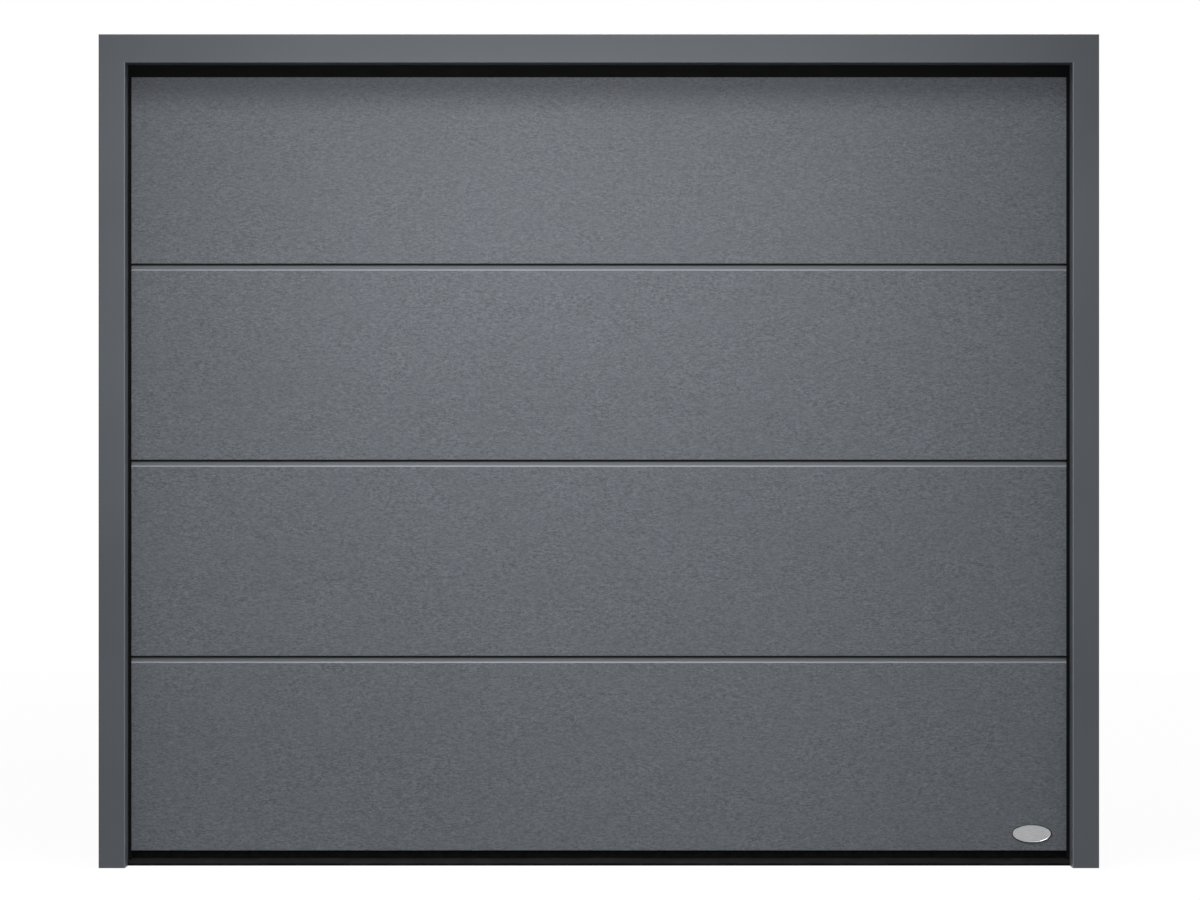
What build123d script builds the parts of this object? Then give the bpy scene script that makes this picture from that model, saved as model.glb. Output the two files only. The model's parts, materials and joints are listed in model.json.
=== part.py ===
"""Sectional garage door with its steel frame, tracks and torsion-spring shaft.

X runs to the right as seen from outside, Y into the garage and Z up, in
millimetres. The origin is the centre of the head member's front face.
"""

import os

from build123d import *

# Frame
OPENING_WIDTH = 2500
OPENING_HEIGHT = 2125
LEG_FACE = 70
HEAD_FACE = 75
FRAME_DEPTH = 60
FRAME_SHEET = 2
FRAME_BEND = 3
INNER_LIP = 12
OUTER_LIP = 25
WALL_HOLE = 9
WALL_HOLE_HEIGHTS = (300, 1800)

# Leaf
SECTION_COUNT = 4
BOTTOM_SECTION_HEIGHT = 514.5
LEAF_THICKNESS = 40
LEAF_BOTTOM = 39
LEAF_TOP_DROP = 8.5
LEAF_OVERLAP = 25
LEAF_GAP = 4
JOINT_GAP = 5
STRIP_HEIGHT = 10
STRIP_TOP_RECESS = 5
STRIP_FOOT_RECESS = 2.5
SHOULDER_HEIGHT = 4
EDGE_RADIUS = 1.5
TONGUE_WIDTH = 12
TONGUE_HEIGHT = 12
TONGUE_CLEARANCE = 3
RIB_COUNT = 4
RIB_PITCH = 104
RIB_WIDTH = 6
RIB_DEPTH = 1.5
CAP_SHEET = 1.5
CAP_FLANGE = 65

# Seals and badge
FIT = 0.3
SIDE_SEAL_SHOW = 8.5
HEAD_SEAL_DROP = 32
SEAL_RAIL_HEIGHT = 20
SEAL_RAIL_INSET = 6
SEAL_LIP_REACH = 12
SEAL_LIP_EDGE = 6
SEAL_LIP_SHOULDER = 13
SEAL_LIP_UNDERCUT = 2
BADGE_WIDTH = 106
BADGE_HEIGHT = 48
BADGE_THICKNESS = 2.4
BADGE_RIM = 2.5
BADGE_INSET = 100
BADGE_FROM_FLOOR = 84

# Hinges
HINGE_WIDTH = 60
HINGE_LENGTH = 60
HINGE_SHEET = 2.5
KNUCKLE_RADIUS = 7
KNUCKLE_WIDTH = 19
PIN_RADIUS = 4
PIN_END = 2.5
CENTRE_HINGE_X = 430
SIDE_HINGE_INSET = 35

# Roller carriers and rollers
CARRIER_SHEET = 3
CARRIER_WIDTH = 50
CARRIER_RADIUS = 12
ROLLER_OFFSET = 32
ROLLER_DROP = 35
STEM_RADIUS = 5.5
STEM_LENGTH = 98
WHEEL_RADIUS = 23
WHEEL_WIDTH = 14
BOTTOM_ROLLER_UP = 80
BRACKET_WIDTH = 65
BRACKET_HEIGHT = 120

# Tracks
TRACK_WIDTH = 54
TRACK_DEPTH = 28
TRACK_SHEET = 2
TRACK_LIP = 7
TRACK_FOLD = 4
TRACK_SIDE_GAP = 13
TRACK_FOOT = 10
CURVE_RADIUS = 300
LOWER_TRACK_DROP = 50
TRACK_SPACING = 75
UPPER_TRACK_FRONT = 95
TRACK_END = 2480
PLATE_SHEET = 3
CORNER_LAP = 55
CORNER_REACH = 85
CORNER_BAND = 50
REAR_OVERLAP = 100
REAR_MARGIN = 8
BEARING_BOSS = 6
TRACK_BRACKET_COUNT = 3
TRACK_BRACKET_PITCH = 500
TRACK_BRACKET_DROP = 225
TRACK_BRACKET_HEIGHT = 50
FLOOR_ANGLE_LENGTH = 45
FLOOR_HOLE = 10

# Cables, spring shaft and hangers
CABLE_RADIUS = 2
CABLE_FROM_LEAF = 6
PULLEY_RADIUS = 32
PULLEY_DROP = 15
PULLEY_WIDTH = 9
PULLEY_FLANGE = 5
PULLEY_CHEEK = 2
AXLE_RADIUS = 6
CABLE_OFFSET = 14
STUD_UP = 34
STUD_RADIUS = 4
EYE_WIDTH = 6
SHAFT_RADIUS = 12.7
SHAFT_BEHIND_TRACK = 80
SHAFT_OVERHANG = 12
DRUM_RADIUS = 55
DRUM_WIDTH = 38
DRUM_FLANGE = 6
DRUM_RIM = 4
SPRING_RADIUS = 26
SPRING_WIRE = 6
SPRING_LENGTH = 680
CONE_COLLAR = 32
CONE_COLLAR_LENGTH = 18
WINDING_LENGTH = 45
ANCHOR_SHEET = 5
BAR_HEIGHT = 60
BAR_DEPTH = 30
BAR_BEHIND_SHAFT = 75
HANGER_LEG = 40
HANGER_OUT = 24
HANGER_SHEET = 3
HANGER_RISE = 163
HANGER_PLATE = 60
HANGER_HOLE = 9
FRONT_HANGER_Y = 1400
REAR_HANGER_INSET = 50

# Sides of the many-sided outlines that stand for small and large round pieces
SMALL_SIDES = 8
STEM_SIDES = 8
LARGE_SIDES = 16

# Places worked out from the sizes above
FLOOR = -(OPENING_HEIGHT + HEAD_FACE / 2)
LINTEL = FLOOR + OPENING_HEIGHT
FRAME_TOP = LINTEL + HEAD_FACE
HALF_OPENING = OPENING_WIDTH / 2
HALF_OUTER = HALF_OPENING + LEG_FACE
LEAF_FRONT = FRAME_DEPTH + LEAF_GAP
LEAF_BACK = LEAF_FRONT + LEAF_THICKNESS
HALF_LEAF = HALF_OPENING + LEAF_OVERLAP
HALF_CORE = HALF_LEAF - CAP_SHEET
LEAF_FOOT = FLOOR + LEAF_BOTTOM
LEAF_TOP = LINTEL - LEAF_TOP_DROP
FIRST_JOINT = LEAF_FOOT + BOTTOM_SECTION_HEIGHT
SECTION_HEIGHT = (LEAF_TOP - FIRST_JOINT) / (SECTION_COUNT - 1)
JOINTS = [FIRST_JOINT + SECTION_HEIGHT * n for n in range(SECTION_COUNT - 1)]
EDGES = [LEAF_FOOT, *JOINTS, LEAF_TOP]
CAP_FACE = LEAF_BACK + CAP_SHEET
BADGE_X = HALF_OPENING - BADGE_INSET
HINGE_AXIS = CAP_FACE + KNUCKLE_RADIUS
SIDE_HINGE_X = HALF_LEAF - SIDE_HINGE_INSET
ROLLER_AXIS = LEAF_BACK + ROLLER_OFFSET
TRACK_INNER = HALF_LEAF + TRACK_SIDE_GAP
TRACK_OUTER = TRACK_INNER + TRACK_DEPTH
WHEEL_X = TRACK_INNER + TRACK_DEPTH / 2
TRACK_HALF = TRACK_WIDTH / 2
LOWER_TRACK = LINTEL - LOWER_TRACK_DROP
UPPER_TRACK = LOWER_TRACK + TRACK_SPACING
CURVE_START = LOWER_TRACK - CURVE_RADIUS
CURVE_CENTRE_Y = ROLLER_AXIS + CURVE_RADIUS
PLATE_FACE = TRACK_OUTER + PLATE_SHEET
CABLE_X = HALF_LEAF + CABLE_FROM_LEAF
STUD_Y = LEAF_BACK + CABLE_OFFSET
STUD_Z = LEAF_FOOT + STUD_UP
PULLEY_Y = STUD_Y + PULLEY_RADIUS
PULLEY_Z = LOWER_TRACK - PULLEY_DROP
CABLE_RUN = PULLEY_Z + PULLEY_RADIUS
SHAFT_Z = CABLE_RUN + DRUM_RADIUS
SHAFT_BORE = SHAFT_RADIUS + FIT
SHAFT_Y = TRACK_END + SHAFT_BEHIND_TRACK
BAR_FRONT = SHAFT_Y + BAR_BEHIND_SHAFT


def deep(y):
    """Upright plane at depth y, drawn as seen from outside."""
    return Plane.XZ.offset(-y)


def across(x):
    """Upright plane that cuts the door at x, drawn in Y and Z."""
    return Plane.YZ.offset(x)


def bent_sheet(points, bends, sheet, side):
    """Section of a bent strip, whose points run along its outer face."""
    with BuildSketch() as section:
        with BuildLine():
            FilletPolyline(*points, radius=bends)
            offset(amount=sheet, side=side)
        make_face()
    return section.sketch


def folded_sheet(points, fold, sheet, side):
    """Section of a strip with its corners cut off by the length of a fold."""
    path = [Vector(*point) for point in points]
    outline = [path[0]]
    for before, corner, after in zip(path, path[1:], path[2:]):
        outline.append(corner + (before - corner).normalized() * fold)
        outline.append(corner + (after - corner).normalized() * fold)
    outline.append(path[-1])
    with BuildSketch() as section:
        with BuildLine():
            Polyline(*(outline if fold else path))
            offset(amount=sheet, side=side, kind=Kind.INTERSECTION)
        make_face()
    return section.sketch


def round_outline(radius, sides, mode=Mode.ADD):
    """Many-sided outline of a round piece, with its flats at the radius."""
    RegularPolygon(radius, sides, major_radius=False, rotation=180 / sides, mode=mode)


def disc(start, end, y, z, radius, sides, bore=0, bore_sides=SMALL_SIDES):
    """Round slice across the door from one X to another, with a bore."""
    with BuildPart() as slice_:
        with BuildSketch(across(start)):
            with Locations((y, z)):
                round_outline(radius, sides)
                if bore:
                    round_outline(bore, bore_sides, Mode.SUBTRACT)
        extrude(amount=end - start)
    return slice_.part


def left_of(piece):
    """The left-hand copy of a right-hand piece."""
    with BuildPart() as copy:
        mirror(piece.part, about=Plane.YZ)
    return copy


# Frame head and legs, mitred at the corners
MITRE = Plane(
    origin=(HALF_OPENING, 0, LINTEL),
    x_dir=(0, 1, 0),
    z_dir=(HEAD_FACE, 0, -LEG_FACE),
)

with BuildPart() as frame_right_leg:
    with BuildSketch(Plane.XY.offset(FLOOR)):
        add(
            bent_sheet(
                [
                    (HALF_OPENING + INNER_LIP, FRAME_DEPTH),
                    (HALF_OPENING, FRAME_DEPTH),
                    (HALF_OPENING, 0),
                    (HALF_OUTER, 0),
                    (HALF_OUTER, FRAME_DEPTH),
                    (HALF_OUTER - OUTER_LIP, FRAME_DEPTH),
                ],
                [0, FRAME_BEND, FRAME_BEND, 0],
                FRAME_SHEET,
                Side.LEFT,
            )
        )
    extrude(amount=FRAME_TOP - FLOOR)
    split(bisect_by=MITRE, keep=Keep.TOP)
    with BuildSketch(across(HALF_OUTER)):
        with Locations(*[(FRAME_DEPTH / 2, FLOOR + h) for h in WALL_HOLE_HEIGHTS]):
            Circle(WALL_HOLE / 2)
    extrude(amount=-2 * FRAME_SHEET, mode=Mode.SUBTRACT)

frame_left_leg = left_of(frame_right_leg)

with BuildPart() as frame_head:
    with BuildSketch(Plane.YZ):
        add(
            bent_sheet(
                [
                    (FRAME_DEPTH, LINTEL + INNER_LIP),
                    (FRAME_DEPTH, LINTEL),
                    (0, LINTEL),
                    (0, FRAME_TOP),
                    (FRAME_DEPTH, FRAME_TOP),
                    (FRAME_DEPTH, FRAME_TOP - OUTER_LIP),
                ],
                [0, FRAME_BEND, FRAME_BEND, 0],
                FRAME_SHEET,
                Side.RIGHT,
            )
        )
    extrude(amount=HALF_OUTER)
    split(bisect_by=MITRE, keep=Keep.BOTTOM)
    mirror(about=Plane.YZ)

# Angle that holds each leg to the floor
with BuildPart() as floor_angles:
    angle_width = HALF_OUTER - CAP_SHEET - TRACK_INNER
    with BuildSketch(across(TRACK_INNER)):
        add(
            folded_sheet(
                [
                    (FRAME_DEPTH, FLOOR + FLOOR_ANGLE_LENGTH),
                    (FRAME_DEPTH, FLOOR),
                    (FRAME_DEPTH + FLOOR_ANGLE_LENGTH, FLOOR),
                ],
                0,
                PLATE_SHEET,
                Side.LEFT,
            )
        )
    extrude(amount=angle_width)
    with BuildSketch(Plane.XY.offset(FLOOR)):
        with Locations((TRACK_INNER + angle_width / 2, FRAME_DEPTH + FLOOR_ANGLE_LENGTH / 2)):
            Circle(FLOOR_HOLE / 2)
    extrude(amount=PLATE_SHEET, mode=Mode.SUBTRACT)
    mirror(about=Plane.YZ)

# Rubber lips between frame and leaf
with BuildPart() as head_seal:
    with BuildSketch(Plane.YZ):
        with Locations((FRAME_DEPTH, LINTEL - HEAD_SEAL_DROP)):
            Rectangle(
                LEAF_GAP - FIT,
                HEAD_SEAL_DROP + INNER_LIP,
                align=(Align.MIN, Align.MIN),
            )
    extrude(amount=HALF_OPENING + INNER_LIP, both=True)

with BuildPart() as side_seals:
    seal_foot = LEAF_BOTTOM - SEAL_RAIL_HEIGHT + FIT
    with BuildSketch(Plane.XY.offset(FLOOR + seal_foot)):
        with Locations((HALF_OPENING - SIDE_SEAL_SHOW, FRAME_DEPTH)):
            Rectangle(
                SIDE_SEAL_SHOW + INNER_LIP,
                LEAF_GAP - FIT,
                align=(Align.MIN, Align.MIN),
            )
    extrude(amount=OPENING_HEIGHT - HEAD_SEAL_DROP - FIT - seal_foot)
    mirror(about=Plane.YZ)


def section_profile(index, ribs):
    """Section of one panel, with a grooved foot and a tongued top that leans back."""
    low, high = EDGES[index], EDGES[index + 1]
    middle = (LEAF_FRONT + LEAF_BACK) / 2
    tongue = TONGUE_WIDTH / 2
    groove = tongue + TONGUE_CLEARANCE
    foot = low
    top = high
    foot_edge = [(LEAF_FRONT, foot), (LEAF_BACK, foot)]
    top_edge = [(LEAF_BACK, top), (LEAF_FRONT, top)]
    if index > 0:
        foot = low + JOINT_GAP / 2
        roof = foot + TONGUE_HEIGHT
        foot_edge = [
            (LEAF_FRONT, foot),
            (middle - groove, foot),
            (middle - groove, roof),
            (middle + groove, roof),
            (middle + groove, foot),
            (LEAF_BACK, foot),
        ]
    if index < SECTION_COUNT - 1:
        top = high - JOINT_GAP / 2
        tip = top + TONGUE_HEIGHT
        top_edge = [
            (LEAF_BACK, top),
            (middle + tongue, top),
            (middle + tongue, tip),
            (middle - tongue, tip),
            (middle - tongue, top),
            (LEAF_FRONT + STRIP_TOP_RECESS, top),
            (LEAF_FRONT + STRIP_FOOT_RECESS, top - STRIP_HEIGHT),
            (LEAF_FRONT, top - STRIP_HEIGHT - SHOULDER_HEIGHT),
        ]
    with BuildSketch() as profile:
        with BuildLine():
            Polyline(*foot_edge, *top_edge, close=True)
        make_face()
        fillet(profile.vertices().group_by(Axis.Y)[0].sort_by(Axis.X)[0], EDGE_RADIUS)
        with Locations((LEAF_BACK, (low + high) / 2)):
            if ribs:
                with GridLocations(1, RIB_PITCH, 1, RIB_COUNT):
                    Rectangle(2 * RIB_DEPTH, RIB_WIDTH, mode=Mode.SUBTRACT)
    return profile.sketch


def leaf_section(index):
    """One foam-filled panel between its end caps."""
    with BuildPart() as section:
        with BuildSketch(Plane.YZ):
            add(section_profile(index, True))
        extrude(amount=HALF_CORE, both=True)
    return section


bottom_section = leaf_section(0)
lower_middle_section = leaf_section(1)
upper_middle_section = leaf_section(2)
top_section = leaf_section(3)

# Steel caps that close the panel ends and carry the side hinges
with BuildPart() as end_caps:
    for index, (low, high) in enumerate(zip(EDGES, EDGES[1:])):
        with BuildSketch(across(HALF_CORE)):
            add(section_profile(index, False))
        extrude(amount=CAP_SHEET)
        with BuildSketch(deep(LEAF_BACK)):
            with Locations((HALF_LEAF - CAP_FLANGE / 2, (low + high) / 2)):
                Rectangle(CAP_FLANGE, high - low - 2 * JOINT_GAP)
        extrude(amount=-CAP_SHEET)
    mirror(about=Plane.YZ)

# Rail and rubber under the bottom panel
with BuildPart() as bottom_seal_rail:
    with BuildSketch(Plane.YZ):
        with Locations((LEAF_BACK, LEAF_FOOT)):
            Rectangle(
                LEAF_THICKNESS - SEAL_RAIL_INSET,
                SEAL_RAIL_HEIGHT,
                align=(Align.MAX, Align.MAX),
            )
    extrude(amount=HALF_LEAF, both=True)

with BuildPart() as bottom_seal:
    seal_top = LEAF_FOOT - SEAL_RAIL_HEIGHT
    with BuildSketch(Plane.YZ):
        with Locations((LEAF_FRONT, FLOOR)):
            Rectangle(LEAF_THICKNESS, seal_top - FLOOR, align=(Align.MIN, Align.MIN))
    extrude(amount=HALF_LEAF, both=True)
    with BuildSketch(Plane.YZ):
        with BuildLine():
            Polyline(
                (LEAF_FRONT, seal_top),
                (LEAF_FRONT - SEAL_LIP_REACH / 2, FLOOR + SEAL_LIP_SHOULDER),
                (LEAF_FRONT - SEAL_LIP_REACH, FLOOR + SEAL_LIP_EDGE),
                (LEAF_FRONT - SEAL_LIP_REACH + SEAL_LIP_UNDERCUT, FLOOR),
                (LEAF_FRONT, FLOOR),
                close=True,
            )
        make_face()
    extrude(amount=HALF_OPENING - FIT, both=True)

# Oval plate with a raised rim, left bare
with BuildPart() as badge_plate:
    with BuildSketch(deep(LEAF_FRONT)):
        with Locations((BADGE_X, FLOOR + BADGE_FROM_FLOOR)):
            Ellipse(BADGE_WIDTH / 2, BADGE_HEIGHT / 2)
    extrude(amount=BADGE_THICKNESS)
    with BuildSketch(deep(LEAF_FRONT - BADGE_THICKNESS)):
        with Locations((BADGE_X, FLOOR + BADGE_FROM_FLOOR)):
            Ellipse(BADGE_WIDTH / 2 - BADGE_RIM, BADGE_HEIGHT / 2 - BADGE_RIM)
    extrude(amount=-BADGE_THICKNESS / 2, mode=Mode.SUBTRACT)


def hinge_leaves(places, base, upward, knuckles):
    """Plates with rolled knuckles, on one side of every joint."""
    way = 1 if upward else -1
    clear = KNUCKLE_RADIUS + 1
    with BuildPart() as leaves:
        for x in places:
            for joint in JOINTS:
                with BuildSketch(across(x)):
                    with Locations((base, joint + way * (clear + HINGE_LENGTH) / 2)):
                        Rectangle(
                            HINGE_AXIS - KNUCKLE_RADIUS + HINGE_SHEET - base,
                            HINGE_LENGTH - clear,
                            align=(Align.MIN, Align.CENTER),
                        )
                extrude(amount=HINGE_WIDTH / 2, both=True)
                for start, width in knuckles:
                    with BuildSketch(across(x + start)):
                        with Locations((HINGE_AXIS - KNUCKLE_RADIUS, joint + way * clear / 2)):
                            Rectangle(HINGE_SHEET, clear, align=(Align.MIN, Align.CENTER))
                        with Locations((HINGE_AXIS, joint)):
                            round_outline(KNUCKLE_RADIUS, SMALL_SIDES)
                            round_outline(PIN_RADIUS + FIT, SMALL_SIDES, Mode.SUBTRACT)
                    extrude(amount=width)
    return leaves


OUTER_KNUCKLES = [(-HINGE_WIDTH / 2, KNUCKLE_WIDTH), (HINGE_WIDTH / 2 - KNUCKLE_WIDTH, KNUCKLE_WIDTH)]
MIDDLE_WIDTH = HINGE_WIDTH - 2 * KNUCKLE_WIDTH - 2 * FIT
MIDDLE_KNUCKLE = [(-MIDDLE_WIDTH / 2, MIDDLE_WIDTH)]
CENTRE_PLACES = (-CENTRE_HINGE_X, CENTRE_HINGE_X)
SIDE_PLACES = (-SIDE_HINGE_X, SIDE_HINGE_X)

centre_hinge_lower_leaves = hinge_leaves(CENTRE_PLACES, LEAF_BACK, False, OUTER_KNUCKLES)
centre_hinge_upper_leaves = hinge_leaves(CENTRE_PLACES, LEAF_BACK, True, MIDDLE_KNUCKLE)
side_hinge_lower_leaves = hinge_leaves(SIDE_PLACES, CAP_FACE, False, OUTER_KNUCKLES)
side_hinge_upper_leaves = hinge_leaves(SIDE_PLACES, CAP_FACE, True, MIDDLE_KNUCKLE)

with BuildPart() as hinge_pins:
    for x in CENTRE_PLACES + SIDE_PLACES:
        half_pin = HINGE_WIDTH / 2 + PIN_END
        for joint in JOINTS:
            add(disc(x - half_pin, x + half_pin, HINGE_AXIS, joint, PIN_RADIUS, SMALL_SIDES))


def fork(axis_z, base, low, high, width, outline):
    """Folded fork: a plate on the leaf and two cheeks with a hole for the stem."""
    with BuildPart() as piece:
        with BuildSketch(deep(base)):
            with Locations((SIDE_HINGE_X, (low + high) / 2)):
                Rectangle(width, high - low)
        extrude(amount=-CARRIER_SHEET)
        for side in (-CARRIER_WIDTH / 2, CARRIER_WIDTH / 2 - CARRIER_SHEET):
            with BuildSketch(across(SIDE_HINGE_X + side)):
                with BuildLine():
                    Polyline(*outline, close=True)
                make_face()
                with Locations((ROLLER_AXIS, axis_z)):
                    round_outline(CARRIER_RADIUS, STEM_SIDES)
                    round_outline(STEM_RADIUS + FIT, STEM_SIDES, Mode.SUBTRACT)
            extrude(amount=CARRIER_SHEET)
    return piece.part


def square_cheek(base, axis_z):
    """Cheek outline from the plate out to the stem's height."""
    return [
        (base, axis_z - CARRIER_RADIUS),
        (ROLLER_AXIS, axis_z - CARRIER_RADIUS),
        (ROLLER_AXIS, axis_z + CARRIER_RADIUS),
        (base, axis_z + CARRIER_RADIUS),
    ]


CARRIER_BASE = CAP_FACE + HINGE_SHEET
BOTTOM_ROLLER = LEAF_FOOT + BOTTOM_ROLLER_UP
STEM_HEIGHTS = [BOTTOM_ROLLER, *[joint - ROLLER_DROP for joint in JOINTS], UPPER_TRACK]

with BuildPart() as roller_carriers:
    for joint in JOINTS:
        axis_z = joint - ROLLER_DROP
        reach = HINGE_LENGTH - ROLLER_DROP
        add(
            fork(
                axis_z,
                CARRIER_BASE,
                axis_z - reach,
                axis_z + reach,
                CARRIER_WIDTH,
                square_cheek(CARRIER_BASE, axis_z),
            )
        )
    mirror(about=Plane.YZ)

with BuildPart() as bottom_brackets:
    bracket_low = LEAF_FOOT + JOINT_GAP
    add(
        fork(
            BOTTOM_ROLLER,
            CAP_FACE,
            bracket_low,
            bracket_low + BRACKET_HEIGHT,
            BRACKET_WIDTH,
            square_cheek(CAP_FACE, BOTTOM_ROLLER),
        )
    )
    tab_x = SIDE_HINGE_X + BRACKET_WIDTH / 2
    with BuildSketch(across(tab_x - CARRIER_SHEET)):
        with Locations((CAP_FACE, STUD_Z)):
            Rectangle(STUD_Y - CAP_FACE, 2 * CARRIER_RADIUS, align=(Align.MIN, Align.CENTER))
        with Locations((STUD_Y, STUD_Z)):
            round_outline(CARRIER_RADIUS, STEM_SIDES)
    extrude(amount=CARRIER_SHEET)
    add(disc(tab_x, CABLE_X + EYE_WIDTH / 2 + FIT, STUD_Y, STUD_Z, STUD_RADIUS, SMALL_SIDES))
    mirror(about=Plane.YZ)

with BuildPart() as top_brackets:
    bracket_high = LEAF_TOP - JOINT_GAP
    add(
        fork(
            UPPER_TRACK,
            CAP_FACE,
            bracket_high - BRACKET_HEIGHT,
            bracket_high,
            BRACKET_WIDTH,
            [
                (CAP_FACE, bracket_high - BRACKET_HEIGHT / 2),
                (ROLLER_AXIS + CARRIER_RADIUS, UPPER_TRACK - 2 * CARRIER_RADIUS),
                (ROLLER_AXIS + CARRIER_RADIUS, UPPER_TRACK),
                (ROLLER_AXIS - CARRIER_RADIUS, UPPER_TRACK),
                (CAP_FACE, bracket_high),
            ],
        )
    )
    mirror(about=Plane.YZ)

# Rollers in the tracks
with BuildPart() as roller_stems:
    stem_end = WHEEL_X + WHEEL_WIDTH / 2
    for z in STEM_HEIGHTS:
        add(disc(stem_end - STEM_LENGTH, stem_end, ROLLER_AXIS, z, STEM_RADIUS, STEM_SIDES))
    mirror(about=Plane.YZ)

with BuildPart() as roller_wheels:
    for z in STEM_HEIGHTS:
        add(
            disc(
                WHEEL_X - WHEEL_WIDTH / 2,
                WHEEL_X + WHEEL_WIDTH / 2,
                ROLLER_AXIS,
                z,
                WHEEL_RADIUS,
                LARGE_SIDES,
                STEM_RADIUS + FIT,
                STEM_SIDES,
            )
        )
    mirror(about=Plane.YZ)

# Tracks
def track_section():
    """Folded C of a track, its mouth towards the leaf, drawn across its run."""
    return folded_sheet(
        [
            (-TRACK_HALF + TRACK_LIP, TRACK_INNER),
            (-TRACK_HALF, TRACK_INNER),
            (-TRACK_HALF, TRACK_OUTER),
            (TRACK_HALF, TRACK_OUTER),
            (TRACK_HALF, TRACK_INNER),
            (TRACK_HALF - TRACK_LIP, TRACK_INNER),
        ],
        TRACK_FOLD,
        TRACK_SHEET,
        Side.RIGHT,
    )


def upright_track_plane(height):
    """Level plane whose first axis runs into the garage and second to the right."""
    return Plane(origin=(0, ROLLER_AXIS, height), x_dir=(0, 1, 0), z_dir=(0, 0, -1))


def level_track_plane(y, height):
    """Upright plane whose first axis runs up and second to the right."""
    return Plane(origin=(0, y, height), x_dir=(0, 0, -1), z_dir=(0, -1, 0))


with BuildPart() as right_vertical_track:
    with BuildSketch(upright_track_plane(FLOOR + TRACK_FOOT)):
        add(track_section())
    extrude(amount=-(CURVE_START - FLOOR - TRACK_FOOT))

with BuildPart() as right_curved_track:
    with BuildSketch(upright_track_plane(CURVE_START)):
        add(track_section())
    revolve(axis=Axis((0, CURVE_CENTRE_Y, CURVE_START), (-1, 0, 0)), revolution_arc=90)

with BuildPart() as right_lower_horizontal_track:
    with BuildSketch(level_track_plane(CURVE_CENTRE_Y, LOWER_TRACK)):
        add(track_section())
    extrude(amount=-(TRACK_END - CURVE_CENTRE_Y))

with BuildPart() as right_upper_horizontal_track:
    with BuildSketch(level_track_plane(UPPER_TRACK_FRONT, UPPER_TRACK)):
        add(track_section())
    extrude(amount=-(TRACK_END - UPPER_TRACK_FRONT))

left_vertical_track = left_of(right_vertical_track)
left_curved_track = left_of(right_curved_track)
left_lower_horizontal_track = left_of(right_lower_horizontal_track)
left_upper_horizontal_track = left_of(right_upper_horizontal_track)

# Angles that carry the upright tracks on the frame
BRACKET_INNER = HALF_OUTER - OUTER_LIP
TRACK_BACK = ROLLER_AXIS + TRACK_HALF
TOP_TRACK_BRACKET = CURVE_START - TRACK_BRACKET_DROP - TRACK_BRACKET_HEIGHT

with BuildPart() as track_brackets:
    for n in range(TRACK_BRACKET_COUNT):
        with BuildSketch(Plane.XY.offset(TOP_TRACK_BRACKET - TRACK_BRACKET_PITCH * n)):
            add(
                folded_sheet(
                    [
                        (BRACKET_INNER, FRAME_DEPTH),
                        (PLATE_FACE, FRAME_DEPTH),
                        (PLATE_FACE, TRACK_BACK),
                    ],
                    0,
                    PLATE_SHEET,
                    Side.LEFT,
                )
            )
        extrude(amount=TRACK_BRACKET_HEIGHT)
    mirror(about=Plane.YZ)

# Plates that join frame, upright, curved and level tracks
PLATE_LOW = CURVE_START - CORNER_LAP
PLATE_HIGH = UPPER_TRACK + TRACK_HALF
PLATE_BACK = CURVE_CENTRE_Y + CORNER_REACH
INNER_ARC = CURVE_RADIUS - CORNER_BAND

with BuildPart() as corner_plates:
    with BuildSketch(across(TRACK_OUTER)):
        with BuildLine():
            Polyline(
                (CURVE_CENTRE_Y - INNER_ARC, CURVE_START),
                (CURVE_CENTRE_Y - INNER_ARC, PLATE_LOW),
                (FRAME_DEPTH, PLATE_LOW),
                (FRAME_DEPTH, PLATE_HIGH),
                (PLATE_BACK, PLATE_HIGH),
                (PLATE_BACK, CURVE_START + INNER_ARC),
                (CURVE_CENTRE_Y, CURVE_START + INNER_ARC),
            )
            RadiusArc(
                (CURVE_CENTRE_Y, CURVE_START + INNER_ARC),
                (CURVE_CENTRE_Y - INNER_ARC, CURVE_START),
                -INNER_ARC,
            )
        make_face()
    extrude(amount=PLATE_SHEET)
    with BuildSketch(deep(FRAME_DEPTH)):
        with Locations((BRACKET_INNER, PLATE_LOW)):
            Rectangle(
                TRACK_OUTER - BRACKET_INNER,
                PLATE_HIGH - PLATE_LOW,
                align=(Align.MIN, Align.MIN),
            )
    extrude(amount=-PLATE_SHEET)
    axle_end = CABLE_X - PULLEY_WIDTH / 2 - FIT
    add(disc(axle_end, TRACK_OUTER, PULLEY_Y, PULLEY_Z, AXLE_RADIUS, STEM_SIDES))
    mirror(about=Plane.YZ)

# Plates at the rear that hold the tracks and the shaft bearings
REAR_LOW = LOWER_TRACK - TRACK_HALF - REAR_MARGIN
REAR_HIGH = SHAFT_Z + DRUM_RADIUS + REAR_MARGIN
REAR_FRONT = TRACK_END - REAR_OVERLAP

with BuildPart() as rear_plates:
    with BuildSketch(across(TRACK_OUTER)):
        with BuildLine():
            Polyline(
                (REAR_FRONT, REAR_LOW),
                (REAR_FRONT, UPPER_TRACK + TRACK_HALF),
                (TRACK_END, REAR_HIGH),
                (BAR_FRONT + BAR_DEPTH, REAR_HIGH),
                (BAR_FRONT + BAR_DEPTH, SHAFT_Z - BAR_HEIGHT / 2),
                (SHAFT_Y, REAR_LOW),
                close=True,
            )
        make_face()
        with Locations((SHAFT_Y, SHAFT_Z)):
            round_outline(SHAFT_BORE, LARGE_SIDES, Mode.SUBTRACT)
    extrude(amount=PLATE_SHEET)
    add(
        disc(
            PLATE_FACE,
            PLATE_FACE + BEARING_BOSS,
            SHAFT_Y,
            SHAFT_Z,
            2 * SHAFT_RADIUS,
            LARGE_SIDES,
            SHAFT_BORE,
            LARGE_SIDES,
        )
    )
    mirror(about=Plane.YZ)

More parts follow.
